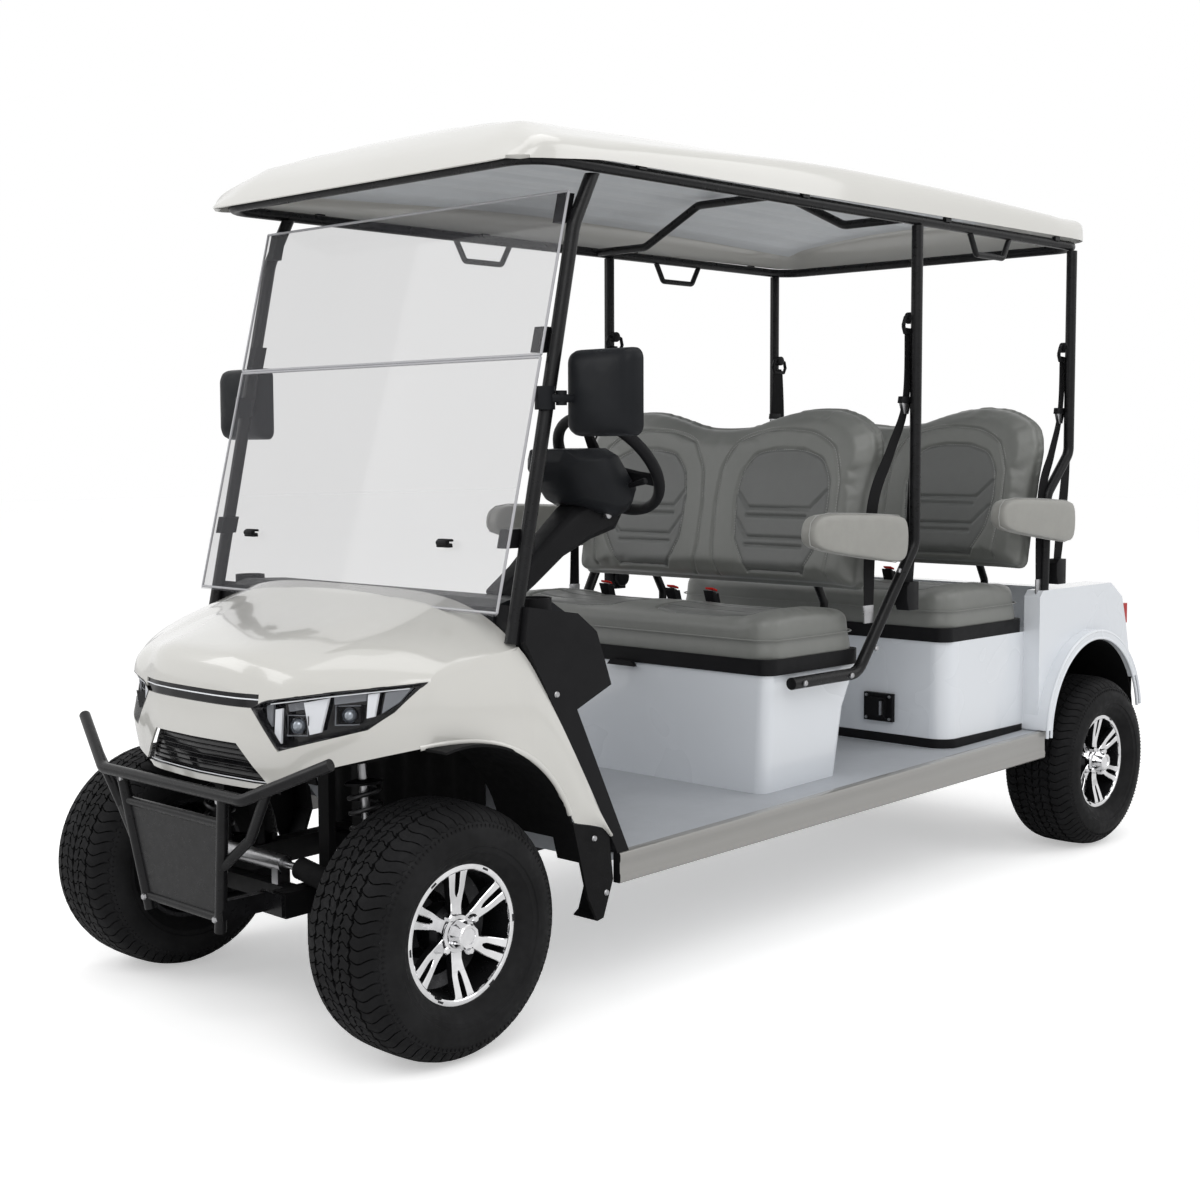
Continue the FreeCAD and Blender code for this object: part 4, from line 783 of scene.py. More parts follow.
def placedWheel(build, corner):
    low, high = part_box("rim_" + corner)
    side = 1 if "left" in corner else -1
    centre = Vector(((low.x + high.x) / 2, side * (min(abs(low.y), abs(high.y)) + 0.099), wheelRadius))
    placed = Build().join(build)
    placed.points = [(centre.x + x, centre.y + side * y, centre.z + z) for x, y, z in build.points]
    return placed


tyreBuild = tyreShape()
rimBuild = rimShape()
for corner in wheelCorners:
    piece("tyre_dress_" + corner, placedWheel(tyreBuild, corner), ["wallRubber", "tyreRubber"], "wheel_" + corner,
          ["tyre_" + corner], weld=0.00005, angle=38)
    piece("rim_dress_" + corner, placedWheel(rimBuild, corner), ["chrome", "rimDark", "chrome", "wallRubber"],
          "wheel_" + corner, ["rim_" + corner], weld=0.00005, angle=30)
print("wheels made")


# Headlamps, light bar and grille

lamp = {
    "top": ((0.215, 0.788), (0.243, 0.803), (0.262, 0.809), (0.398, 0.832), (0.488, 0.845), (0.566, 0.856)),
    "low": ((0.215, 0.787), (0.290, 0.694), (0.473, 0.750), (0.519, 0.790), (0.566, 0.8555)),
    "inner": 0.215, "width": 0.351, "depth": 0.042, "inset": 0.012, "columns": 26,
    "rings": ((-0.001, -0.001), (-0.0015, 0.003), (0.004, 0.008), (0.042, 0.012)),  # depth, inset
    "projectors": ((0.320, 0.753, 0.0155), (0.420, 0.779, 0.0145)),  # y, z, radius
    "housing": ((1.26, -0.014), (1.26, 0.006), (1.12, 0.0085), (1.05, 0.006), (0.98, 0.003)),  # share of radius, out
    "lens": ((0.98, 0.003), (0.93, 0.009), (0.75, 0.0145), (0.45, 0.018)),
    "panels": (  # corners (y, z), depth behind the cover, finish
        (((0.266, 0.786), (0.285, 0.790), (0.283, 0.710), (0.264, 0.714)), 0.016, 3),
        (((0.340, 0.806), (0.386, 0.817), (0.373, 0.740), (0.352, 0.734)), 0.016, 3),
        (((0.460, 0.827), (0.479, 0.831), (0.474, 0.778), (0.460, 0.774)), 0.014, 3),
        (((0.494, 0.832), (0.536, 0.842), (0.518, 0.811), (0.490, 0.786)), 0.010, 4),
        (((0.236, 0.792), (0.256, 0.797), (0.254, 0.738), (0.240, 0.765)), 0.020, 4),
        (((0.290, 0.798), (0.334, 0.808), (0.336, 0.790), (0.296, 0.782)), 0.026, 4),
        (((0.392, 0.820), (0.452, 0.832), (0.452, 0.812), (0.394, 0.802)), 0.022, 4)),
}
creaseZ = [(p[1], p[2]) for p in cowl["crease"]]
lowLine = [(p[1], -p[0]) for p in cowl["edge"]]
lowEdgeZ = [(p[1], p[2]) for p in cowl["edge"]]


def skinX(y, z):  # the nose's outer face at a height
    y = abs(y)
    head, foot = along(creaseZ, y), along(lowEdgeZ, y)
    share = min(1.0, max(0.0, (head - z) / (head - foot)))
    upper, lower = along(noseLine, y), along(lowLine, y)
    bulge = cowl["bulge"] * cowl["noseBulge"] * math.sin(math.pi * share)
    return axleX + upper + (lower - upper) * share + bulge


def behind(y, z, depth):  # a point that far behind the nose's outer face
    return (skinX(y, z) - depth, y, z)


def lampRows(depth, inset, count=7):
    rows = []
    for v in evenly(0, 1, count):
        row = []
        for column in range(lamp["columns"] + 1):
            y = lamp["inner"] + inset + (lamp["width"] - 2.6 * inset) * column / lamp["columns"]
            high, low = along(lamp["top"], y) - inset * 0.6, along(lamp["low"], y) + inset * 0.7
            row.append(behind(y, low + (max(high, low) - low) * v, depth))
        rows.append(row)
    return rows


def lampEdge(depth, inset):
    rows = lampRows(depth, inset, 2)
    return rows[0] + list(reversed(rows[1]))


def headlampBuild():
    build = Build()
    build.grid([lampEdge(*ring) for ring in lamp["rings"]], 0, closed=True)
    build.grid(lampRows(lamp["depth"], lamp["inset"]), 0)
    outward = Vector((0.80, 0.60, 0)).normalized()
    across = outward.cross(Vector((0, 0, 1))).normalized()
    for y, z, radius in lamp["projectors"]:
        centre = Vector(behind(y, z, 0.030))
        build.lathe([(radius * share, out) for share, out in lamp["housing"]], centre, outward, 1, 40)
        lens = [(radius * share, out) for share, out in lamp["lens"]] + [(0.0001, 0.019)]
        build.lathe(lens, centre, outward, 2, 40)
        low, high = Vector((0, 0, -radius * 1.3)), Vector((0, 0, radius * 1.5))
        for way in (-1, 1):
            foot = centre + across * (way * radius * 1.75) - outward * 0.012
            blade = [foot + low, foot + high, foot + high + outward * 0.03, foot + low + outward * 0.024]
            build.slab(blade, across * 0.002, 0)
    for outline, depth, mark in lamp["panels"]:
        build.slab([behind(y, z, depth) for y, z in outline], (-0.005, 0, 0), mark)
    for y, z, radius in lamp["projectors"]:
        side = radius * 1.55
        square = ((-side, -side), (side, -side * 0.9), (side, side), (-side, side * 0.9), (-side, -side))
        build.tube([behind(y + a, z + b, 0.022) for a, b in square], 0.0018, 4, 6)
    rim = [behind(y, along(lamp["top"], y) - 0.010, 0.006) for y in (0.262, 0.32, 0.38, 0.44, 0.50, 0.535)]
    return build.tube(resample(rim, 30), 0.0013, 3, 8)


def noseBarBuild():
    span = evenly(-bar["half"], bar["half"], 31)
    middle = (bar["low"] + bar["high"]) / 2
    heights = (bar["low"] - 0.002, bar["low"] + 0.006, bar["high"] - 0.006, bar["high"] + 0.002)
    build = Build().grid([[behind(y, z, bar["depth"]) for y in span] for z in heights])
    return build.tube([(skinX(y, middle + 0.004) - 0.0025, y, middle + 0.0035) for y in span], 0.0017, 1, 8)


def grilleHalf(v, grow):
    return grille["low"] + (grille["top"] - grille["low"]) * v + grow


def grilleBuild():
    build = Build()
    rows = []
    for v in evenly(0, 1, 9):
        z = grille["foot"] - 0.004 + (grille["head"] + 0.008 - grille["foot"]) * v
        rows.append([behind(grilleHalf(v, 0.004) * u, z, grille["depth"]) for u in evenly(-1, 1, 25)])
    build.grid(rows, 0)
    for index in range(grille["slats"]):  # shallow level slats
        v = (index + 0.7) / (grille["slats"] + 0.4)
        z = grille["foot"] + (grille["head"] - grille["foot"]) * v
        line = [behind(grilleHalf(v, -0.004) * u, z, grille["depth"] - 0.002) for u in evenly(-1, 1, 21)]
        build.tube(line, grille["slat"], 0, 8, flat=0.5)
    foot = [behind(0.246 * u, grille["foot"] + 0.003, 0.010) for u in evenly(-1, 1, 21)]
    return build.tube(foot, 0.0014, 1, 8)


piece("headlamp_units", headlampBuild().mirrored(), ["glossBlack", "chrome", "lensGlass", "lampWhite", "lampGrey"],
      angle=40, weld=0.00005)
piece("headlamp_covers", Build().grid(lampRows(-0.0005, 0.002)).mirrored(), ["lampGlass"],
      replaced=["headlamps"], angle=60)
piece("grille_and_bar", noseBarBuild().join(grilleBuild()), ["glossBlack", "lampWhite"],
      replaced=["nose_trim"], weld=0.00005)
print("lamps and grille made")


# Seats

seat = {
    "voxel": 0.0085, "pressure": 4.0, "cap": 0.024, "inset": 0.012, "edgeInset": 0.004, "lean": math.radians(10.5),
    "thick": 0.095, "groove": 0.0055, "grooveWidth": 0.0045, "stitch": 0.0085, "stitchGap": 0.0045, "frames": 20,
    "needle": ((-0.0026, 0, 0), (-0.0012, 0, 0.0006), (0.0012, 0, 0.0006), (0.0026, 0, 0)), "thread": 0.00065,
    "backOutline": ((0.576, 0.0), (0.594, 0.405), (0.574, 0.495), (0.478, 0.556), (0.350, 0.574), (0.222, 0.556),
                    (0.115, 0.526), (0.040, 0.517), (0, 0.516)),
}

stitchNodes = nodeTree(  # lays a stitch along the edges of a path
    "stitches_on_path", (("Path", "Object"), ("Stitch", "Object"), ("Pitch", "Float"), ("Finish", "Material")),
    {"source": "NodeGroupInput", "path": "GeometryNodeObjectInfo", "shape": "GeometryNodeObjectInfo",
     "line": "GeometryNodeMeshToCurve", "spaced": "GeometryNodeResampleCurve", "tangent": "GeometryNodeInputTangent",
     "copies": "GeometryNodeInstanceOnPoints", "turned": "FunctionNodeAlignRotationToVector",
     "real": "GeometryNodeRealizeInstances", "finish": "GeometryNodeSetMaterial", "result": "NodeGroupOutput"},
    {"spaced": ("mode", "LENGTH"), "turned": ("axis", "X")},
    (("source", "Path", "path", "Object"), ("source", "Stitch", "shape", "Object"),
     ("path", "Geometry", "line", "Mesh"), ("line", 0, "spaced", "Curve"), ("source", "Pitch", "spaced", "Length"),
     ("spaced", 0, "copies", "Points"),
     ("shape", "Geometry", "copies", "Instance"), ("tangent", 0, "turned", "Vector"),
     ("turned", 0, "copies", "Rotation"), ("copies", 0, "real", 0), ("real", 0, "finish", "Geometry"),
     ("source", "Finish", "finish", "Material"),
     ("finish", 0, "result", 0)))[0]


def puffed(mesh, cap, held):  # swells a closed mesh a little, as foam under a cover does
    scene = bpy.context.scene
    made = linked("pad", mesh)
    cloth = made.modifiers.new("cloth", "CLOTH")
    cloth.settings.quality = 4
    cloth.settings.use_pressure = True
    cloth.settings.uniform_pressure_force = seat["pressure"]
    cloth.settings.effector_weights.gravity = 0
    for frameNumber in range(1, seat["frames"] + 1):
        scene.frame_set(frameNumber)
    result = evaluated(made)
    for old, new in zip(mesh.vertices, result.vertices):
        step = new.co - old.co
        limit = cap * held(old.co)
        if step.length > limit:
            new.co = old.co + step * (limit / step.length)
    bpy.data.objects.remove(made)
    scene.frame_set(1)
    return result


def padMesh(build, soften, held, cap):
    made = linked("pad", build.mesh("pad"))
    rounded = made.modifiers.new("soft", "BEVEL")
    rounded.width = soften
    rounded.segments = 5
    rounded.limit_method = "ANGLE"
    remesh = made.modifiers.new("grid", "REMESH")
    remesh.mode = "VOXEL"
    remesh.voxel_size = seat["voxel"]
    calm = made.modifiers.new("calm", "SMOOTH")
    calm.iterations = 4
    mesh = plain(made)
    mesh = puffed(mesh, cap, held)
    made = linked("pad", mesh)
    calm = made.modifiers.new("calm", "SMOOTH")
    calm.iterations = 3
    finer = made.modifiers.new("finer", "SUBSURF")
    finer.levels = finer.render_levels = 1
    return plain(made)


def seamPoints(seam):
    length = sum((b - a).length for a, b in zip(seam, seam[1:]))
    return resample(seam, max(4, int(length / 0.003)), False)


def sewn(mesh, seams, front):  # presses the seams into the side that faces front
    points = [p for seam in seams for p in seamPoints(seam)]
    tree = KDTree(len(points))
    for index, point in enumerate(points):
        tree.insert(point, index)
    tree.balance()
    width = seat["grooveWidth"]
    normals = [v.normal.copy() for v in mesh.vertices]
    for vertex, normal in zip(mesh.vertices, normals):
        if normal.dot(front) < 0.2:
            continue
        distance = tree.find(vertex.co)[2]
        if distance < width * 4:
            vertex.co -= normal * (seat["groove"] * math.exp(-(distance / width) ** 2))
    mesh.update()
    return mesh


def dropped(mesh, seam, front, reach=0.2):  # a line moved along the view of its pad onto the pad's face
    tree = BVHTree.FromPolygons([v.co for v in mesh.vertices], [p.vertices for p in mesh.polygons])
    hits = [tree.ray_cast(point + front * reach, -front)[0] for point in seam]
    return [hit for hit in hits if hit is not None]


def stitched(build, lines, front, gap, mark):
    stitch = Build().tube(seat["needle"], seat["thread"], 0, 5)
    needle = linked("stitch", stitch.mesh("stitch", 0.00001))
    for line in lines:
        for way in (-1, 1):
            points = []
            for a, b in zip(line, line[1:]):
                across = (b - a).cross(front)
                if across.length > 0:
                    points.append(a + across.normalized() * (gap * way) + front * 0.0008)
            mesh = bpy.data.meshes.new("path")
            mesh.from_pydata(points, [(i, i + 1) for i in range(len(points) - 1)], [])
            path = linked("path", mesh)
            values = {"Path": path, "Stitch": needle, "Pitch": seat["stitch"], "Finish": finishes["thread"].material}
            addMesh(build, runNodes(stitchNodes, values), mark)
            bpy.data.objects.remove(path)
    bpy.data.objects.remove(needle)
    return build


def inside(outline, u, v):
    within = False
    for (a, b), (c, d) in zip(outline, outline[1:] + outline[:1]):
        if (b > v) != (d > v) and u < (c - a) * (v - b) / (d - b) + a:
            within = not within
    return within


def coverBuild(mesh, isInsert, stitchLines, front):  # the cover with its darker inserts and its stitches
    build = Build()
    build.points = [v.co[:] for v in mesh.vertices]
    build.faces = [list(polygon.vertices) for polygon in mesh.polygons]
    build.marks = [1 if isInsert(polygon) else 0 for polygon in mesh.polygons]
    return stitched(build, stitchLines, front, seat["stitchGap"], 2)


backSeams = {  # (sideways from the seat's centre, height), for one place
    "centre": 0.262,
    "border": ((-0.215, 0.03), (-0.232, 0.12), (-0.236, 0.25), (-0.224, 0.36), (-0.175, 0.445), (-0.08, 0.478),
               (0.02, 0.482), (0.12, 0.470), (0.195, 0.425), (0.226, 0.33), (0.222, 0.18), (0.200, 0.04)),
    "insert": ((-0.098, 0.044), (-0.150, 0.14), (-0.160, 0.27), (-0.146, 0.35), (-0.10, 0.405), (-0.02, 0.420),
               (0.08, 0.418), (0.155, 0.39), (0.188, 0.33), (0.192, 0.24), (0.170, 0.14), (0.107, 0.044)),
    "channels": (((-0.110, 0.240), (0.120, 0.240)), ((-0.112, 0.216), (0.110, 0.216)),
                 ((-0.104, 0.150), (0.112, 0.150)), ((-0.106, 0.125), (0.104, 0.125)),
                 ((-0.090, 0.048), (0.098, 0.048)), ((-0.158, 0.292), (-0.112, 0.240)),
                 ((0.190, 0.300), (0.122, 0.240)), ((-0.150, 0.205), (-0.106, 0.150)),
                 ((0.176, 0.210), (0.112, 0.150))),
    "dish": {"half": 0.235, "middle": 0.23, "reach": 0.28, "depth": 0.010},
}


def makeBack(name, node, foot, footZ):
    base = at(foot, 0, footZ)
    up = Vector((-math.sin(seat["lean"]), 0, math.cos(seat["lean"])))
    out = Vector((math.cos(seat["lean"]), 0, math.sin(seat["lean"])))
    centre, dish = backSeams["centre"], backSeams["dish"]

    def spot(y, v, w=0.0):
        return base + up * v + out * w + Vector((0, y, 0))

    def seamLine(side, line):
        return [spot(side * (centre + u), v) for u, v in line]

    right = resample([(y, v, 0) for y, v in seat["backOutline"][1:]], 16)
    ring = [seat["backOutline"][0]] + [(p.x, p.y) for p in right]
    ring += [(-y, v) for y, v in reversed(ring[:-1])]
    shrunk = []
    for y, v in ring:
        pull = Vector((y, v - 0.27)).normalized() * seat["edgeInset"]
        shrunk.append((y - pull.x, v - pull.y))
    start = Build().slab([spot(y, v, -seat["inset"]) for y, v in shrunk], out * -(seat["thick"] - 2 * seat["inset"]))
    mesh = padMesh(start, 0.026, lambda co: 1.0 if (co - base).dot(out) > -0.06 else 0.35, seat["cap"])
    for vertex in mesh.vertices:  # a raised roll round each shield and a shallow seat inside it
        offset = vertex.co - base
        y, v = abs(offset.y) - centre, offset.dot(up)
        if offset.dot(out) > -0.05:
            away = max(abs(y) / dish["half"], abs(v - dish["middle"]) / dish["reach"])
            vertex.co -= out * (dish["depth"] * (1 - smoothstep(0.35, 0.95, away)))
    sides = (-1, 1)
    borders = [seamLine(side, backSeams["border"]) for side in sides]
    inserts = [seamLine(side, backSeams["insert"]) for side in sides]
    channels = [seamLine(side, line) for side in sides for line in backSeams["channels"]]
    mesh = sewn(mesh, [dropped(mesh, resample(line, 60, False), out) for line in inserts + channels + borders], out)

    def isInsert(polygon):
        offset = polygon.center - base
        return polygon.normal.dot(out) > 0.3 and inside(backSeams["insert"], abs(offset.y) - centre, offset.dot(up))

    laid = [dropped(mesh, resample(line, 70), out) for line in borders + inserts]
    made = piece(name, coverBuild(mesh, isInsert, laid, out), ["seatLeather", "seatInsert", "thread"],
                 replaced=[node], weld=0.00002, angle=60)


cushionSeams = {
    "centre": 0.270, "corner": 0.07, "grow": 0.003, "sink": 0.018,
    "insert": ((-0.185, 0.07), (-0.205, 0.16), (-0.205, 0.30), (-0.17, 0.385), (0.17, 0.385), (0.205, 0.30),
               (0.205, 0.16), (0.185, 0.07), (0.10, 0.045), (-0.10, 0.045), (-0.185, 0.07)),
    "channels": (((-0.195, 0.115), (-0.06, 0.150), (0.06, 0.150), (0.195, 0.115)),
                 ((-0.20, 0.215), (-0.06, 0.25), (0.06, 0.25), (0.20, 0.215)),
                 ((-0.15, 0.33), (-0.06, 0.345), (0.06, 0.345), (0.15, 0.33))),
}


def makeCushion(name, node, body):
    low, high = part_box(node)
    up = Vector((0, 0, 1))
    half, front, centre = high.y, high.x, cushionSeams["centre"]

    def edge(grow, z):
        ring = roundedRing((low.x, -half), (high.x, half), cushionSeams["corner"], 6, grow)
        return [Vector((x, y, z)) for x, y in ring]

    sink = cushionSeams["sink"]
    start = Build().slab(edge(-cushionSeams["grow"], low.z - sink), (0, 0, high.z - low.z + sink))
    mesh = padMesh(start, 0.022, lambda co: 0.4 * smoothstep(low.z + 0.004, low.z + 0.06, co.z), seat["cap"])
    for vertex in mesh.vertices:  # a higher back and edge, and a dish in each place
        if vertex.co.z <= low.z + 0.03:
            continue
        back = front - vertex.co.x
        away = max(abs(abs(vertex.co.y) - centre) / 0.22, abs(back - 0.22) / 0.2)
        rise = smoothstep(low.z + 0.03, high.z, vertex.co.z)
        dish = 1 - smoothstep(0.3, 1.0, away)
        vertex.co.z += rise * (0.012 * smoothstep(0.0, 0.12, back) - 0.010 * dish)
        vertex.co.z += rise * 0.010 * (1 - smoothstep(0.0, 0.09, abs(abs(vertex.co.y) - half + 0.05)))
        vertex.co.z += rise * 0.014 * (1 - smoothstep(0.22, 0.40, back))
    lines = (cushionSeams["insert"],) + cushionSeams["channels"]
    seams = [[Vector((front - v, side * (centre + u), high.z)) for u, v in line]
             for side in (-1, 1) for line in lines]
    mesh = sewn(mesh, [dropped(mesh, resample(line, 70, False), up) for line in seams], up)

    def isInsert(polygon):
        spot = polygon.center
        return polygon.normal.z > 0.5 and inside(cushionSeams["insert"], abs(spot.y) - centre, front - spot.x)

    laid = [dropped(mesh, resample(seams[i], 90, False), up) for i in (0, len(lines))]
    build = coverBuild(mesh, isInsert, laid, up)
    belt = edge(-0.004, low.z + 0.052)
    build.tube(belt + belt[:1], 0.0022, 0, 6, caps=False)
    made = piece(name, build, ["seatLeather", "seatInsert", "thread"], body, [node], weld=0.00002,
                 angle=60)


makeBack("front_back_pad", "backrest_front", 1.570, 0.955)
makeBack("rear_back_pad", "backrest_rear", 2.500, 0.970)
makeCushion("front_cushion_pad", "cushion_front", "lid_front")
makeCushion("rear_cushion_pad", "cushion_rear", "lid_rear")
print("seats sewn")


# Armrests

armrest = {
    "front": (0.0, 0.606, 0.0, 0.020), "rear": (0.966, 0.618, 0.020, 0.016),  # back, inner side, rise, pivot's reach
    "middle": (1.50, 1.12), "shrink": 0.028, "pivot": (1.690, 1.088, 0.017),
    "layers": ((0.0, 0.55), (0.004, 0.80), (0.012, 0.95), (0.024, 1.0), (0.036, 1.0), (0.048, 0.95), (0.056, 0.80),
               (0.060, 0.55)),  # across, share of the full outline
    "profile": ((1.268, 1.106), (1.262, 1.135), (1.270, 1.168), (1.294, 1.186), (1.350, 1.192), (1.480, 1.188),
                (1.600, 1.182), (1.692, 1.176), (1.718, 1.162), (1.726, 1.120), (1.722, 1.070), (1.708, 1.048),
                (1.680, 1.040), (1.610, 1.048), (1.500, 1.062), (1.400, 1.076), (1.320, 1.090)),
}


def armrestBuild(key):
    back, inner, rise, reach = armrest[key]
    middleS, middleZ = armrest["middle"]
    rows = []
    for across, share in armrest["layers"]:
        row = []
        for s, z in armrest["profile"]:
            ds, dz = s - middleS, z - middleZ
            keep = 1 - (1 - share) * armrest["shrink"] / math.hypot(ds, dz)
            row.append(at(middleS + back + ds * keep, inner + across, middleZ + rise + dz * keep))
        rows.append(row)
    build = Build().grid(rows, 0, closed=True)
    build.cap(rows[0])
    build.cap(rows[-1])
    s, z, radius = armrest["pivot"]
    pivot = at(s + back, 0, z + rise)
    build.tube([(pivot.x, inner - reach, pivot.z), (pivot.x, inner + 0.004, pivot.z)], radius, 1, 20)
    seam = [p + Vector((0, 0.0015, 0)) for p in rows[4] + rows[4][:1]]
    return build, seam


for key in ("front", "rear"):
    build, seam = armrestBuild(key)
    pad = piece("armrest_pads_" + key, build.mirrored(), ["armLeather", "blackPlastic"],
                replaced=["armrests"], subdivide=1, weld=0.00002, angle=70)
    piece("armrest_seams_" + key, Build().tube(seam, 0.0013, 0, 6, caps=False).mirrored(), ["thread"],
          angle=60)
print("armrests made")


# Mirrors

mirror = {
    "low": (0.604, 1.400), "high": (0.816, 1.602), "corner": 0.026,  # (y, z)
    "steps": ((0.404, 0.003), (0.4045, 0.0), (0.394, 0.0), (0.380, 0.002), (0.367, 0.007), (0.358, 0.016),
              (0.353, 0.030), (0.350, 0.055)),  # station, inset
    "arms": (((0.302, 0.600, 1.462), (0.302, 0.600, 1.516), 0.024, 20),  # start, end, radius, sides
             ((0.330, 0.626, 1.472), (0.330, 0.626, 1.506), 0.013, 12)),
    "link": ((0.305, 0.618, 1.488), (0.330, 0.632, 1.488), (0.372, 0.640, 1.488)),
}


def mirrorRing(station, inset, corner):
    (y0, z0), (y1, z1) = mirror["low"], mirror["high"]
    return [at(station, y, z) for y, z in roundedRing((y0 + inset, z0 + inset), (y1 - inset, z1 - inset), corner)]


mirrors = Build()
rings = [mirrorRing(s, g, max(0.012, mirror["corner"] - g * 0.2)) for s, g in mirror["steps"]]
glassRing = mirrorRing(0.401, 0.007, 0.028)
mirrors.grid(rings, 0, closed=True)
mirrors.cap(rings[-1])
mirrors.grid([rings[0], glassRing], 0, closed=True)
mirrors.cap(glassRing, 1)
for start, end, radius, sides in mirror["arms"]:
    mirrors.tube([at(*start), at(*end)], radius, 0, sides)
mirrors.tube([at(*p) for p in mirror["link"]], 0.010, 0, 12)
piece("mirror_heads", mirrors.mirrored(), ["dashPlastic", "mirrorFace"], replaced=["mirrors"],
      angle=40)


# Steering wheel, shroud and instrument hood

wheelCentre = at(0.800, 0.330, 1.330)
columnAxis = (at(0.440, 0.330, 1.036) - wheelCentre).normalized()  # down the column
columnSide = Vector((0, 1, 0))
columnUp = columnSide.cross(columnAxis).normalized()
if columnUp.z < 0:
    columnUp = -columnUp


def inColumn(side, up, down):
    return wheelCentre + columnSide * side + columnUp * up + columnAxis * down


steering = {
    "grip": 0.0145, "middle": 0.1575, "oval": 1.15,
    "spokes": ((90, 0.016), (200, 0.020), (340, 0.020)),  # degrees, half width
    "spokeRows": ((0.030, 1.5, 0.016), (0.060, 1.1, 0.016), (0.105, 0.85, 0.008), (0.150, 0.95, 0.001)),
    "spokeEdge": ((-1, 0, -0.004), (1, 0, -0.004), (1, 0.002, 0), (1, 0, 0.006), (-1, 0, 0.006), (-1, 0.002, 0)),
    "hub": ((0.0001, -0.009), (0.030, -0.008), (0.042, -0.003), (0.047, 0.006), (0.046, 0.020), (0.034, 0.026),
            (0.0001, 0.026)),
    "cap": ((0.0001, -0.0105), (0.018, -0.0100), (0.020, -0.0085)),
}


def steeringWheelBuild():
    grip, turns = steering["grip"], [2 * math.pi * k / 14 for k in range(14)]
    section = [(steering["middle"] + grip * math.cos(t), grip * steering["oval"] * math.sin(t)) for t in turns]
    build = Build().lathe(section, wheelCentre, columnAxis, 0, 72, closed=True)
    for angle, half in steering["spokes"]:
        turn = math.radians(angle)
        out = columnSide * math.cos(turn) + columnUp * math.sin(turn)
        across = columnSide * -math.sin(turn) + columnUp * math.cos(turn)
        rows = []
        for radius, share, down in steering["spokeRows"]:
            centre = wheelCentre + out * radius + columnAxis * down
            rows.append([centre + across * (way * (half * share + wider)) + columnAxis * deep
                         for way, wider, deep in steering["spokeEdge"]])
        build.grid(rows, 1, closed=True)
    build.lathe(steering["hub"], wheelCentre, columnAxis, 1, 40)
    return build.lathe(steering["cap"], wheelCentre, columnAxis, 2, 32)


shroud = {  # rings: down the column, lower and upper edge, half width
    "hood": ((0.024, -0.052, 0.062, 0.066), (0.030, -0.080, 0.080, 0.092), (0.070, -0.094, 0.112, 0.104),
             (0.118, -0.080, 0.148, 0.104), (0.150, -0.036, 0.174, 0.094), (0.178, 0.010, 0.156, 0.078),
             (0.196, 0.030, 0.110, 0.050)),
    "column": ((0.058, -0.112, -0.030, 0.042), (0.116, -0.124, 0.0, 0.050), (0.200, -0.086, 0.018, 0.046),
               (0.300, -0.056, 0.020, 0.041), (0.420, -0.046, 0.018, 0.037), (0.520, -0.034, 0.028, 0.032)),
    "corner": 0.32, "stalks": ((1, 0.155), (-1, 0.140)), "stalk": (0.0075, 0.0065, 0.009),
    "key": ((0.012, 0.0), (0.012, 0.014), (0.0001, 0.015)), "keyPlace": (0.050, -0.06, 0.13),
}


def shroudRing(down, low, high, half):
    points = []
    middle, reach, keep = (low + high) / 2, (high - low) / 2, 1 - shroud["corner"]
    for side, up in ((1, 1), (-1, 1), (-1, -1), (1, -1)):
        pair = [(side * half, up * reach * keep), (side * half * keep, up * reach)]
        points += pair if side * up > 0 else pair[::-1]
    return [inColumn(s, middle + u, down) for s, u in points]


def shroudBuild():
    build = Build()
    for name, mark, faceMark in (("hood", 0, 3), ("column", 1, 1)):
        rings = [shroudRing(*ring) for ring in shroud[name]]
        build.grid(rings, mark, closed=True)
        build.cap(rings[0], faceMark)
        build.cap(rings[-1], mark)
    for side, reach in shroud["stalks"]:
        stalk = [inColumn(side * 0.060, -0.03, 0.060), inColumn(side * 0.105, -0.026, 0.052),
                 inColumn(side * reach, -0.018, 0.044)]
        build.tube(stalk, shroud["stalk"], 1, 12)
    return build.lathe(shroud["key"], inColumn(*shroud["keyPlace"]), columnSide, 2, 20)


piece("steering_wheel_dress", steeringWheelBuild(), ["gripRubber", "blackPlastic", "glossBlack"], "steering_wheel",
      ["steering_wheel"], weld=0.00002, angle=40)
piece("steering_shroud", shroudBuild(), ["dashPlastic", "blackPlastic", "steel", "glossBlack"],
      replaced=["steering_column"], bevel=0.004, weld=0.00002, angle=35)
print("mirrors and steering made")


# Roof skin and lining

canopy = {
    "around": 200, "spine": (0.72, 2.30), "fascia": (0.0, 0.18, 0.40, 0.62, 0.84), "height": 0.066,
    "square": 0.8, "probes": (2.072, 2.080, 2.064), "reach": 0.09, "ridgeRounds": 7, "edgeRounds": 3, "edgeRings": 7,
    "lip": {"low": 2.0262, "front": 0.0195, "rear": 0.0085}, "cornerDrop": 0.024,
    "insets": (0.004, 0.012, 0.022, 0.034, 0.050, 0.072, 0.100, 0.140, 0.190, 0.260, 0.350, 0.450, 0.560, 0.620),
}
lining = {
    "front": 0.270, "rear": 2.780, "half": 0.596, "ribs": 9, "ribHeight": 0.009, "drop": 0.006, "rows": 97,
    "columns": 109, "frontSink": 0.016, "sideSink": 0.008,
}
canopyNode = nodes["roof_canopy"].data
canopyTree = BVHTree.FromPolygons([v.co for v in canopyNode.vertices], [p.vertices for p in canopyNode.polygons])
canopyLow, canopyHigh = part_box("roof_canopy")
canopyFront = axleX - canopyHigh.x


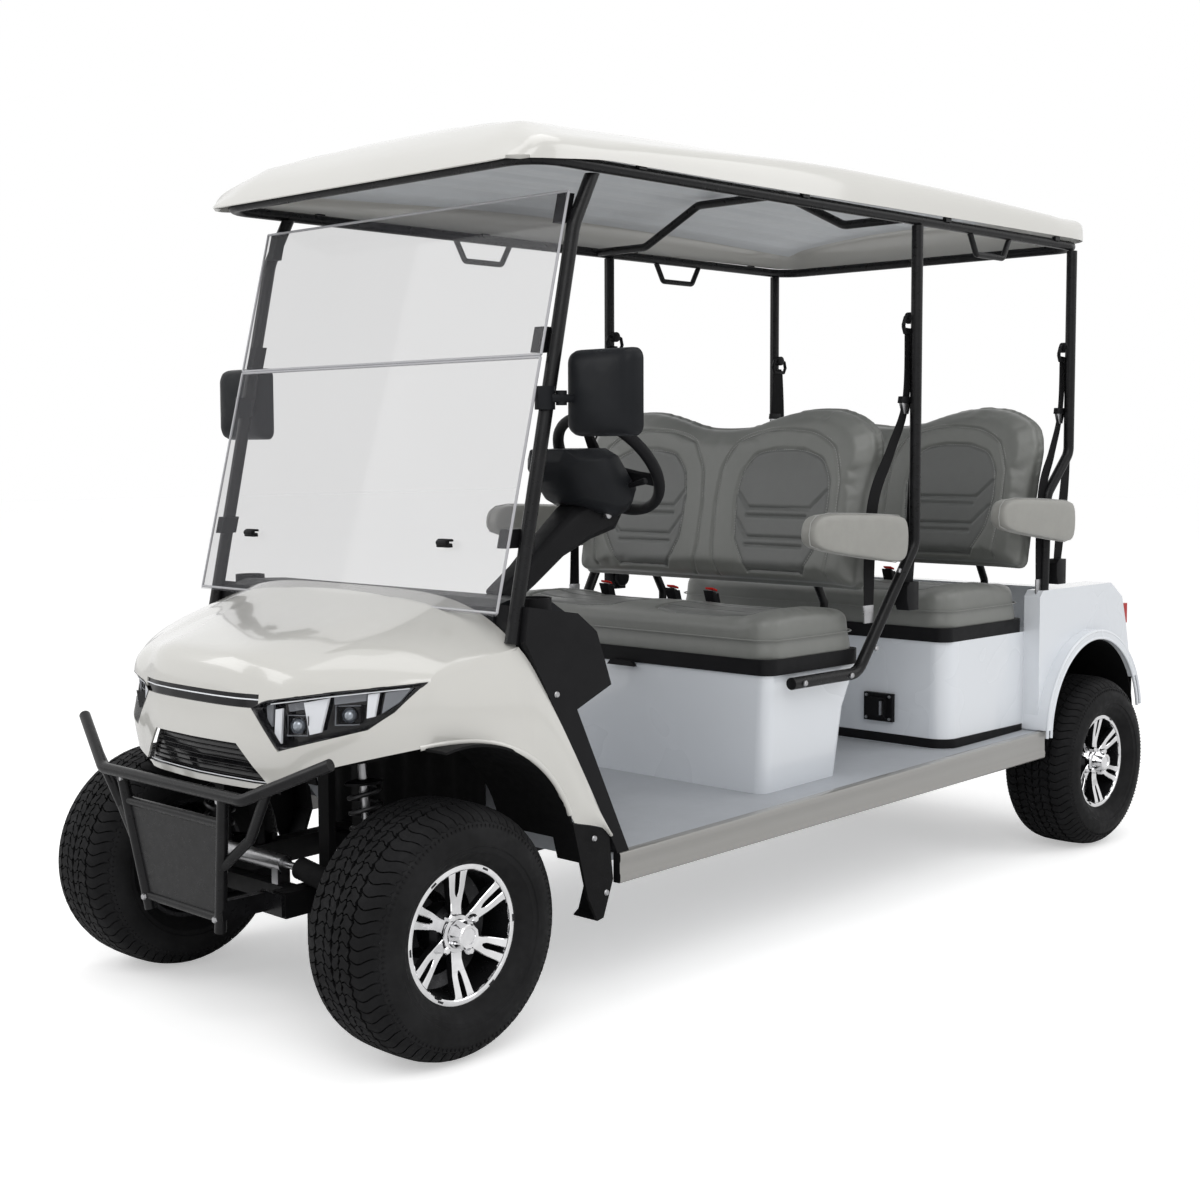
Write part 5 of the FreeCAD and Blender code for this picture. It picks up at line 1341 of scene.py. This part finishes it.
def canopyBuild():
    middle = (canopyLow + canopyHigh) / 2
    count = canopy["around"]
    halfLength, halfWidth = (canopyHigh.x - canopyLow.x) / 2, (canopyHigh.y - canopyLow.y) / 2

    def fromSide(way, z):
        return canopyTree.ray_cast(Vector((middle.x, 0, z)) + way * 3, -way)[0]

    def squared(share):
        return math.copysign(abs(share) ** canopy["square"], share)

    stems = []
    for j in range(count):
        turn = 2 * math.pi * j / count
        way = Vector((squared(math.cos(turn)) * halfLength, squared(math.sin(turn)) * halfWidth, 0)).normalized()
        found = next(hit for hit in (fromSide(way, z) for z in canopy["probes"]) if hit is not None)
        station = axleX - found.x
        frontRise = canopy["lip"]["front"] * smoothstep(canopyFront + 0.02, canopyFront + 0.31, station)
        lipZ = canopy["lip"]["low"] + frontRise + canopy["lip"]["rear"] * smoothstep(0.6, 2.75, station)
        stems.append((found, way, lipZ))
    rings = []
    for share in canopy["fascia"]:
        ring = []
        for found, way, lipZ in stems:
            z = lipZ + canopy["height"] * share
            hit = fromSide(way, z)
            near = hit is not None and (hit - found).length < canopy["reach"]
            ring.append(hit.copy() if near else Vector((found.x, found.y, z)))
        rings.append(ring)
    first = len(rings) - 1
    front, rear = [axleX - s for s in canopy["spine"]]
    for inset in canopy["insets"]:
        ring = []
        for spot in rings[first]:
            target = Vector((min(front, max(rear, spot.x * 0.9)), 0, spot.z))
            place = spot.lerp(target, min(1.0, inset / canopy["insets"][-1]))
            hit = canopyTree.ray_cast(Vector((place.x, place.y, 2.4)), Vector((0, 0, -1)))[0]
            ring.append(Vector((place.x, place.y, hit.z if hit is not None else spot.z)))
        rings.append(ring)
    for _ in range(canopy["ridgeRounds"]):  # rounds the ridges at the corners
        for ring in rings[first:]:
            old = [p.z for p in ring]
            for j in range(count):
                ring[j].z = 0.25 * old[j - 1] + 0.5 * old[j] + 0.25 * old[(j + 1) % count]
    for k, ring in enumerate(rings):
        part = canopy["fascia"][k] / canopy["fascia"][-1] if k < first else 1.0
        for point in ring:
            ahead = 1 - smoothstep(0.55, 1.5, axleX - point.x)
            point.z -= canopy["cornerDrop"] * part * ahead * smoothstep(0.48, 0.62, abs(point.y))
    for _ in range(canopy["edgeRounds"]):  # rounds the upper edge
        old = [[p.copy() for p in ring] for ring in rings]
        for k in range(2, first + canopy["edgeRings"]):
            for j in range(count):
                rings[k][j] = 0.25 * old[k - 1][j] + 0.5 * old[k][j] + 0.25 * old[k + 1][j]
    return Build().grid(rings, closed=True)


def liningBuild():
    rows = []
    for s in evenly(lining["front"], lining["rear"], lining["rows"]):
        row = []
        for y in evenly(-lining["half"], lining["half"], lining["columns"]):
            hit = canopyTree.ray_cast(at(s, y, 2.03), Vector((0, 0, 1)))[0]
            top = hit.z if hit is not None else 2.10
            inner = 1 - smoothstep(0.52, 0.58, abs(y))
            ends = smoothstep(0.30, 0.42, s) * (1 - smoothstep(2.66, 2.76, s))
            wave = 0.5 + 0.5 * math.cos(math.pi * lining["ribs"] * y / lining["half"])
            rib = lining["ribHeight"] * smoothstep(0.55, 0.8, wave) * inner * ends
            sink = lining["frontSink"] * (1 - smoothstep(0.55, 1.5, s)) * smoothstep(0.46, 0.58, abs(y))
            sink += lining["sideSink"] * smoothstep(0.53, 0.59, abs(y))
            row.append(at(s, y, top - lining["drop"] - sink - rib))
        rows.append(row)
    return Build().grid(rows)


piece("roof_skin", canopyBuild(), ["roofPaint"], replaced=["roof_canopy"], thick=0.0035,
      angle=50, weld=0.0004)
piece("roof_lining", liningBuild(), ["roofLining"], thick=0.002, angle=50)


# Trim round the boxes, sills and arches, and painted shadow under the rear box

# black band round the foot of the rear box: a thin black trim made about 30 mm tall, so the band is part real trim
# and part painted shadow under the box's edge
boxTrimAndShadow = {
    "front": 2.086, "rear": 2.600, "half": 0.564, "corner": 0.064, "inset": 0.0025,
    "rows": ((0.4262, 1), (0.4282, 0), (0.454, 0), (0.456, 1)),  # height, inset or not
}
sillStrip = {
    "front": 0.512, "rear": 2.570, "top": 0.388, "slope": 0.0238, "height": 0.076, "taper": 0.014,
    "lower": ((0.6160, 0), (0.6360, 0), (0.6395, 0.004), (0.6400, 0.020), (0.6378, 0.026)),  # y, above the base
    "upper": ((0.6378, 0.026), (0.6400, 0.020), (0.6400, 0.006), (0.6380, 0.0015), (0.6340, 0), (0.6160, 0)),
}
rearArch = {
    "place": (2.885, 0.415), "lips": ((0.306, 0.6555), (0.3295, 0.6545)), "lip": 0.0055, "liner": 0.3005,
    "linerRows": (0.3985, 0.43, 0.52, 0.60, 0.640), "disc": (0.299, 0.399),
}


def rearArchPoint(angle, radius, y):  # a point on the rear wheel arch, angle in degrees from its top
    station, z = rearArch["place"]
    turn = math.radians(angle)
    return at(station - radius * math.sin(turn), y, z + radius * math.cos(turn))


# the black band under the rear box, part trim and part painted shadow
foot = Build()
rings = []
for z, inset in boxTrimAndShadow["rows"]:
    less = boxTrimAndShadow["inset"] * inset
    half = boxTrimAndShadow["half"] - less
    ring = roundedRing((axleX - boxTrimAndShadow["rear"], -half), (axleX - boxTrimAndShadow["front"] - less, half),
                       boxTrimAndShadow["corner"] - less)
    rings.append([(x, y, z) for x, y in ring])
piece("rear_box_foot", foot.grid(rings, 0, closed=True), ["blackPlastic"], angle=40)

sill = Build()
for side in (-1, 1):
    rows = []
    for s in evenly(sillStrip["front"], sillStrip["rear"], 25):
        past = s - sillStrip["front"]
        top = sillStrip["top"] + sillStrip["slope"] * past
        base = top - sillStrip["height"] - sillStrip["taper"] * past / (sillStrip["rear"] - sillStrip["front"])
        section = [(y, base + up) for y, up in sillStrip["lower"]]
        section += [(y, top - down) for y, down in sillStrip["upper"]]
        rows.append([at(s, side * y, z) for y, z in section])
    sill.grid(rows, 0, closed=True)
    sill.cap(rows[0], 1)
    sill.cap(rows[-1], 1)
piece("sill_mouldings", sill, ["silverSill", "blackPlastic"], replaced=["sills"], angle=30)

arch = Build()
for radius, y in rearArch["lips"]:
    arch.tube([rearArchPoint(angle, radius, y) for angle in range(-82, 91, 4)], rearArch["lip"], 0, 10)
piece("rear_arch_lips", arch.mirrored(), ["whiteBody"], angle=60)

inner = Build()
inner.grid([[rearArchPoint(angle, rearArch["liner"], y) for y in rearArch["linerRows"]]
            for angle in range(-96, 97, 6)])
inner.cap([rearArchPoint(angle, *rearArch["disc"]) for angle in range(-96, 97, 6)])
piece("rear_arch_liners", inner.mirrored(), ["liner"], thick=0.002, angle=40)


# Coil springs and dampers

spring = {
    "turns": 6.5, "radius": 0.036, "wire": 0.0058, "start": 0.30, "span": 0.56, "plates": (0.28, 0.87),
    "places": (((0, 0.330, 0.229), (0, 0.286, 0.6395)), ((2.8677, 0.330, 0.292), (2.8877, 0.320, 0.717))),
    "bellows": {"folds": 23, "pitch": 0.006, "radii": (0.0265, 0.019), "start": (-0.120, 0.205, 0.392)},
}


def coilBuild(start, end):
    build = Build()
    axis = (end - start).normalized()
    length = (end - start).length
    side = axis.orthogonal().normalized()
    other = axis.cross(side)
    path = []
    count = int(spring["turns"] * 16)
    for k in range(count + 1):
        turn = 2 * math.pi * k / 16
        out = side * math.cos(turn) + other * math.sin(turn)
        path.append(start + axis * length * (spring["start"] + spring["span"] * k / count) + out * spring["radius"])
    build.tube(path, spring["wire"], 1, 8)
    build.lathe([(0.011, 0.0), (0.011, length)], start, axis, 2, 16)
    body = [(0.0001, 0.02), (0.022, 0.022), (0.022, length * 0.55), (0.0001, length * 0.56)]
    build.lathe(body, start, axis, 0, 28)
    for share in spring["plates"]:
        plate = ((0.0001, 0), (0.043, 0), (0.045, 0.006), (0.024, 0.012), (0.0001, 0.012))
        build.lathe([(radius, length * share + up) for radius, up in plate], start, axis, 0, 32)
    return build


coils = Build()
for start, end in spring["places"]:
    coils.join(coilBuild(at(*start), at(*end)))
piece("coil_springs", coils.mirrored(), ["chassisPaint", "springSteel", "steel"],
      replaced=["coil_overs"], weld=0.00002, angle=45)

bellows = spring["bellows"]
folds = [(bellows["radii"][k % 2], bellows["pitch"] * k) for k in range(bellows["folds"])]
boots = Build().lathe(folds, at(*bellows["start"]), (0, 1, -0.13), 0, 28)
piece("rack_bellows", boots.mirrored(), ["wallRubber"], "rack", angle=50)


# Belt buckles and small fittings

fittings = {
    "buckles": ((1.600, -0.140, 0.0), (1.600, 0.020, 0.0), (1.600, -0.430, 0.0), (2.528, -0.12, 0.020),
                (2.528, 0.05, 0.020)),  # station, y, rise
    "case": ((-0.010, -0.019, -0.030), (-0.010, 0.019, -0.030), (0.004, 0.019, 0.010), (0.004, -0.019, 0.010)),
    "button": ((-0.008, -0.016, 0.011), (-0.008, 0.016, 0.011), (0.014, 0.016, 0.018), (0.014, -0.016, 0.018)),
    "latchPlace": (1.190, 0.02, 0.742),
    "latch": ((0, -0.055, -0.008), (0, 0.055, -0.008), (0, 0.042, 0.008), (0, -0.042, 0.008)),
    "portScrew": ((0.0001, 0.0035), (0.0045, 0.003), (0.0055, 0.0)),
    "boxBolt": ((0.0001, 0.008), (0.006, 0.0075), (0.0085, 0.005), (0.0085, 0.0)),
    "boxBolts": ((1.300, 0.604, 0.722), (1.520, 0.604, 0.722), (1.640, 0.604, 0.790), (1.745, 0.612, 1.010)),
    "flapScrew": ((0.0001, 0.004), (0.006, 0.0035), (0.008, 0.0)),
    "flapScrews": ((0.420, 0.6405, 0.440), (0.462, 0.6405, 0.300), (0.300, 0.6365, 0.800), (0.395, 0.6365, 0.560)),
    "guardBolt": ((0.0001, 0.006), (0.007, 0.0055), (0.009, 0.0)),
    "guardBolts": ((-0.343, 0.205, 0.585), (-0.321, 0.150, 0.300)),
}


def plate(build, start, outline, depth, mark=0):  # a slab with its outline given from a start point
    return build.slab([start + Vector(p) for p in outline], depth, mark)


bits = Build()
for s, y, rise in fittings["buckles"]:
    head = at(s - 0.002, y, 0.915 + rise)
    bits.tube([at(s + 0.018, y, 0.874 + rise), head], [0.010, 0.013], 0, 10, flat=1.7)
    plate(bits, head, fittings["case"], (0.018, 0, 0.006), 0)
    plate(bits, head, fittings["button"], (0.002, 0, 0.007), 1)
piece("belt_buckles", bits, ["blackPlastic", "redButton"], bevel=0.0015, weld=0.00002)

small = Build()
plate(small, at(*fittings["latchPlace"]), fittings["latch"], (0.012, 0, 0), 0)
portLow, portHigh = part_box("charge_port")
centre = (portLow + portHigh) / 2
for dy in (-0.044, 0.044):
    for dz in (-0.036, 0.036):
        small.lathe(fittings["portScrew"], (portLow.x + 0.016, centre.y + dy, centre.z + dz), (1, 0, 0), 1, 10)
small.block((portHigh.x, centre.y + 0.018, centre.z - 0.022),
            (portHigh.x + 0.006, centre.y + 0.027, centre.z + 0.022), 1)
for side in (-1, 1):
    for profile, places, axis, steps in (("boxBolt", "boxBolts", (0, side, 0), 6),
                                         ("flapScrew", "flapScrews", (0, side, 0), 10),
                                         ("guardBolt", "guardBolts", (1, 0, 0), 6)):
        for s, y, z in fittings[places]:
            small.lathe(fittings[profile], at(s, side * y, z), axis, 1, steps)
piece("small_fittings", small, ["blackPlastic", "steel"], weld=0.00002)


# Windscreen edges and clips

screen = {
    "foot": (0.145, 0.985), "slope": 0.2457, "half": 0.594, "panes": ((0.998, 1.583), (1.589, 1.972)), "edge": 0.0034,
    "clipY": 0.391, "clips": ((1.145, 0.010), (1.157, 0.006)), "clip": (0.022, 0.020), "pin": (0.166, 1.151, 0.018),
}


def screenStation(z):
    station, foot = screen["foot"]
    return station + (z - foot) * screen["slope"]


# tubes round each pane's edge, coloured pale grey as a painted highlight along the edges
edges = Build()
half = screen["half"]
for low, high in screen["panes"]:
    ring = [at(screenStation(z) + 0.0025, y, z) for y, z in ((-half, low), (half, low), (half, high), (-half, high))]
    for a, b in zip(ring, ring[1:] + ring[:1]):
        edges.tube([a, b], screen["edge"], 0, 8)
clips = Build()
for side in (-1, 1):
    y = side * screen["clipY"]
    low, high = screen["clip"]
    for z, tall in screen["clips"]:
        down, up = z - tall / 2, z + tall / 2
        s = screenStation(z) - 0.004
        outline = ((y - low, down), (y + low, down), (y + high, up), (y - high, up))
        clips.slab([at(s, y2, z2) for y2, z2 in outline], (0.016, 0, 0), 0)
    s, z, reach = screen["pin"]
    start, end = (side * (screen["clipY"] + way * reach) for way in (-1, 1))
    clips.tube([at(s, start, z), at(s, end, z)], 0.007, 0, 12)
piece("screen_clips", clips, ["blackPlastic"], bevel=0.002, weld=0.00002)
piece("screen_edges", edges, ["edgeRubberAndHighlight"], weld=0.00002)
print("fittings made")


# Safety belts, guide rings and reels

belts = {
    "width": 0.046, "thick": 0.0022, "points": 40,
    "long": {"front": ((1.806, 0.598, 1.722), (1.790, 0.598, 1.500), (1.715, 0.598, 1.360), (1.628, 0.597, 1.200),
                       (1.612, 0.597, 0.905)),
             "rear": ((2.722, 0.598, 1.672), (2.706, 0.598, 1.480), (2.655, 0.598, 1.350), (2.600, 0.597, 1.220),
                      (2.590, 0.597, 0.925))},
    "short": {"front": ((1.822, 0.606, 1.716), (1.828, 0.606, 1.340), (1.812, 0.600, 0.960)),
              "rear": ((2.738, 0.606, 1.666), (2.744, 0.606, 1.360), (2.700, 0.600, 0.985))},
    "guide": ((0.030, 0.006), (0.020, 0.030), (-0.012, 0.036), (-0.040, 0.026), (-0.046, 0.004), (-0.036, -0.014),
              (0.022, -0.014), (0.030, 0.006)),
    "pulley": ((0.0001, 0.016), (0.014, 0.015), (0.017, 0.010), (0.017, -0.016), (0.0001, -0.016)),
    "drum": ((0.0001, 0.0), (0.026, 0.0), (0.030, 0.004), (0.030, 0.018), (0.0001, 0.020)),
    "plates": {  # what it hangs from, outline (x, z), y, depth, finish
        "case": ("reel", ((-0.030, -0.070), (0.022, -0.070), (0.032, -0.040), (0.032, 0.0), (0.018, 0.014),
                          (-0.030, 0.014)), -0.026, 0.044, 0),
        "anchor": ("anchor", ((-0.022, -0.040), (0.022, -0.040), (0.024, 0.012), (-0.024, 0.012)), -0.003, 0.006, 1),
        "tongue": ("latch", ((-0.010, -0.030), (0.012, -0.030), (0.026, 0.004), (-0.022, 0.004)), -0.006, 0.012, 1),
        "handle": ("latch", ((-0.028, 0.002), (0.030, 0.002), (0.026, 0.022), (-0.026, 0.022)), -0.008, 0.016, 0),
    },
}


def ribbon(build, points):
    count = belts["points"]
    line = resample([at(*p) for p in points], count)
    rows = []
    for index, spot in enumerate(line):
        ahead = line[min(index + 1, count - 1)] - line[max(index - 1, 0)]
        across = ahead.cross(Vector((0, 1, 0))).normalized()
        turn = 0.5 * math.sin(index * 0.16)
        across = (across + Vector((0, 1, 0)) * 0.35 * turn).normalized()
        face = ahead.cross(across).normalized() * (belts["thick"] / 2)
        half = across * (belts["width"] / 2)
        rows.append([spot - half * 0.96 - face, spot + half * 0.96 - face, spot + half, spot + half * 0.96 + face,
                     spot - half * 0.96 + face, spot - half])
    build.grid(rows, 0, closed=True)
    build.cap(rows[0])
    build.cap(rows[-1])


straps, hardware = Build(), Build()
for row in ("front", "rear"):
    ribbon(straps, belts["long"][row])
    ribbon(straps, belts["short"][row])
    places = {"top": at(*belts["long"][row][0]), "latch": at(*belts["long"][row][1]),
              "anchor": at(*belts["long"][row][-1]), "reel": at(*belts["short"][row][-1])}
    top, reel = places["top"], places["reel"]
    hardware.tube([top + Vector((dx, 0, dz)) for dx, dz in belts["guide"]], 0.0062, 0, 10)
    hardware.lathe(belts["pulley"], top + Vector((-0.008, 0.004, 0.030)), (0, 1, 0), 0, 24)
    hardware.lathe(belts["drum"], reel + Vector((0, -0.046, -0.030)), (0, 1, 0), 0, 28)
    for place, outline, y, depth, mark in belts["plates"].values():
        plate(hardware, places[place], [(x, y, z) for x, z in outline], (0, depth, 0), mark)
piece("belt_webbing_straps", straps.mirrored(), ["webbing"], replaced=["belt_straps"],
      weld=0.00002, angle=50)
piece("belt_fittings", hardware.mirrored(), ["blackPlastic", "steel"],
      replaced=["belt_hardware"], bevel=0.0016, weld=0.00002)


# Dark panel behind the front axle

bay = {"station": 0.352, "low": 0.345, "high": 0.700, "half": 0.335, "ribs": 7, "ribDepth": 0.007, "fold": 0.02}
rows = []
for share in evenly(-1, 1, 29):
    y = bay["half"] * share
    rib = bay["ribDepth"] * (0.5 + 0.5 * math.cos(math.pi * bay["ribs"] * (share + 1)))
    front = bay["station"] - rib
    rows.append([at(front, y, bay["low"]), at(front, y, bay["high"] - bay["fold"]),
                 at(bay["station"] + bay["fold"], y, bay["high"])])
piece("front_bay_panel", Build().grid(rows), ["liner"], thick=0.003, angle=40)
print("belts made")


# Camera, floor and light

view = {
    "place": (2.498, 3.451, 1.371),  # from the front axle, on the ground
    "yaw": -136.471, "pitch": -4.333, "roll": -0.175,
    "focal": 1715.088, "centre": (605.292, 578.720), "frame": 1200.0, "film": 36.0,
}


def addCamera():
    data = bpy.data.cameras.new("photo_camera")
    camera = linked("photo_camera", data)
    bpy.context.scene.camera = camera
    yaw, pitch, roll = (math.radians(view[k]) for k in ("yaw", "pitch", "roll"))
    forward = Vector((math.cos(pitch) * math.cos(yaw), math.cos(pitch) * math.sin(yaw), math.sin(pitch)))
    level = forward.cross(Vector((0, 0, 1))).normalized()
    up = level.cross(forward)
    side = level * math.cos(roll) + up * math.sin(roll)
    top = up * math.cos(roll) - level * math.sin(roll)
    turn = Matrix((side, top, -forward)).transposed()
    place = Vector(view["place"]) + Vector((axleX, 0, 0))
    camera.matrix_world = Matrix.Translation(place) @ turn.to_4x4()
    data.sensor_width = view["film"]
    data.lens = view["focal"] * view["film"] / view["frame"]
    data.shift_x = -(view["centre"][0] - view["frame"] / 2) / view["frame"]
    data.shift_y = -(view["frame"] / 2 - view["centre"][1]) / view["frame"]
    data.clip_end = 200


studio = {
    "sky": 0.60, "glow": 0.42, "reach": 40.0, "pale": ((0.93, 0.93, 0.93), (0.95, 0.95, 0.95)),
    "lamps": (  # place, aim, size in metres, power in watts
        ((4.5, 4.5, 5.5), (0.4, 0, 0.9), 4.5, 150),
        ((-3.5, 5.0, 4.5), (-0.6, 0, 0.8), 4.0, 80),
        ((5.0, -3.0, 3.5), (0.8, 0, 0.8), 3.0, 60),
        ((0.0, 0.0, 7.0), (0, 0, 1.5), 5.0, 80),
    ),
}


def addSky(scene):  # soft light from all round, white where the camera, a reflection or a pane looks at it
    world = bpy.data.worlds.new("studio")
    scene.world = world
    world.use_nodes = True
    tree = world.node_tree
    sky = tree.nodes["Background"]
    seen = tree.nodes.new("ShaderNodeBackground")
    mix = tree.nodes.new("ShaderNodeMixShader")
    path = tree.nodes.new("ShaderNodeLightPath")
    bright = tree.nodes.new("ShaderNodeMath")
    clear = tree.nodes.new("ShaderNodeMath")
    for adder in (bright, clear):
        adder.operation = "MAXIMUM"
    for background, strength in ((sky, studio["sky"]), (seen, 1.0)):
        background.inputs["Color"].default_value = (1, 1, 1, 1)
        background.inputs["Strength"].default_value = strength
    for output, entry in ((path.outputs["Is Camera Ray"], bright.inputs[0]),
                          (path.outputs["Is Glossy Ray"], bright.inputs[1]), (bright.outputs[0], clear.inputs[0]),
                          (path.outputs["Is Transmission Ray"], clear.inputs[1]), (clear.outputs[0], mix.inputs[0]),
                          (sky.outputs[0], mix.inputs[1]), (seen.outputs[0], mix.inputs[2]),
                          (mix.outputs[0], tree.nodes["World Output"].inputs["Surface"])):
        tree.links.new(output, entry)


def addLamps():
    for index, (place, aim, size, power) in enumerate(studio["lamps"]):
        data = bpy.data.lights.new("softbox_%d" % index, "AREA")
        data.size = size
        data.energy = power
        lamp = linked(data.name, data)
        lamp.location = place
        lamp.rotation_euler = (Vector(place) - Vector(aim)).to_track_quat("Z", "Y").to_euler()


def addFloor():  # a pale floor with a faint glow of its own, but only where the camera sees it
    floor = bpy.data.meshes.new("studio_floor")
    reach = studio["reach"]
    floor.from_pydata([(-reach, -reach, 0), (reach, -reach, 0), (reach, reach, 0), (-reach, reach, 0)], [],
                      [(0, 1, 2, 3)])
    ground = linked("studio_floor", floor)
    pale = Finish("pale_floor", roughness=0.9, specularIorLevel=0.1)
    pale.tone(pale.noise(0.4), 0.3, 0.7, *studio["pale"])
    shown = pale.node("ShaderNodeLightPath")
    make = pale.tree.nodes.new
    glow, both, pick = make("ShaderNodeEmission"), make("ShaderNodeAddShader"), make("ShaderNodeMixShader")
    glow.inputs["Strength"].default_value = studio["glow"]
    for output, entry in ((pale.shader.outputs[0], both.inputs[0]), (glow.outputs[0], both.inputs[1]),
                          (shown.socket, pick.inputs[0]), (pale.shader.outputs[0], pick.inputs[1]),
                          (both.outputs[0], pick.inputs[2]),
                          (pick.outputs[0], pale.tree.nodes["Material Output"].inputs["Surface"])):
        pale.tree.links.new(output, entry)
    floor.materials.append(pale.material)


addCamera()
bpy.context.scene.view_settings.view_transform = "Standard"
addSky(bpy.context.scene)
addLamps()
addFloor()
print("camera and studio ready")
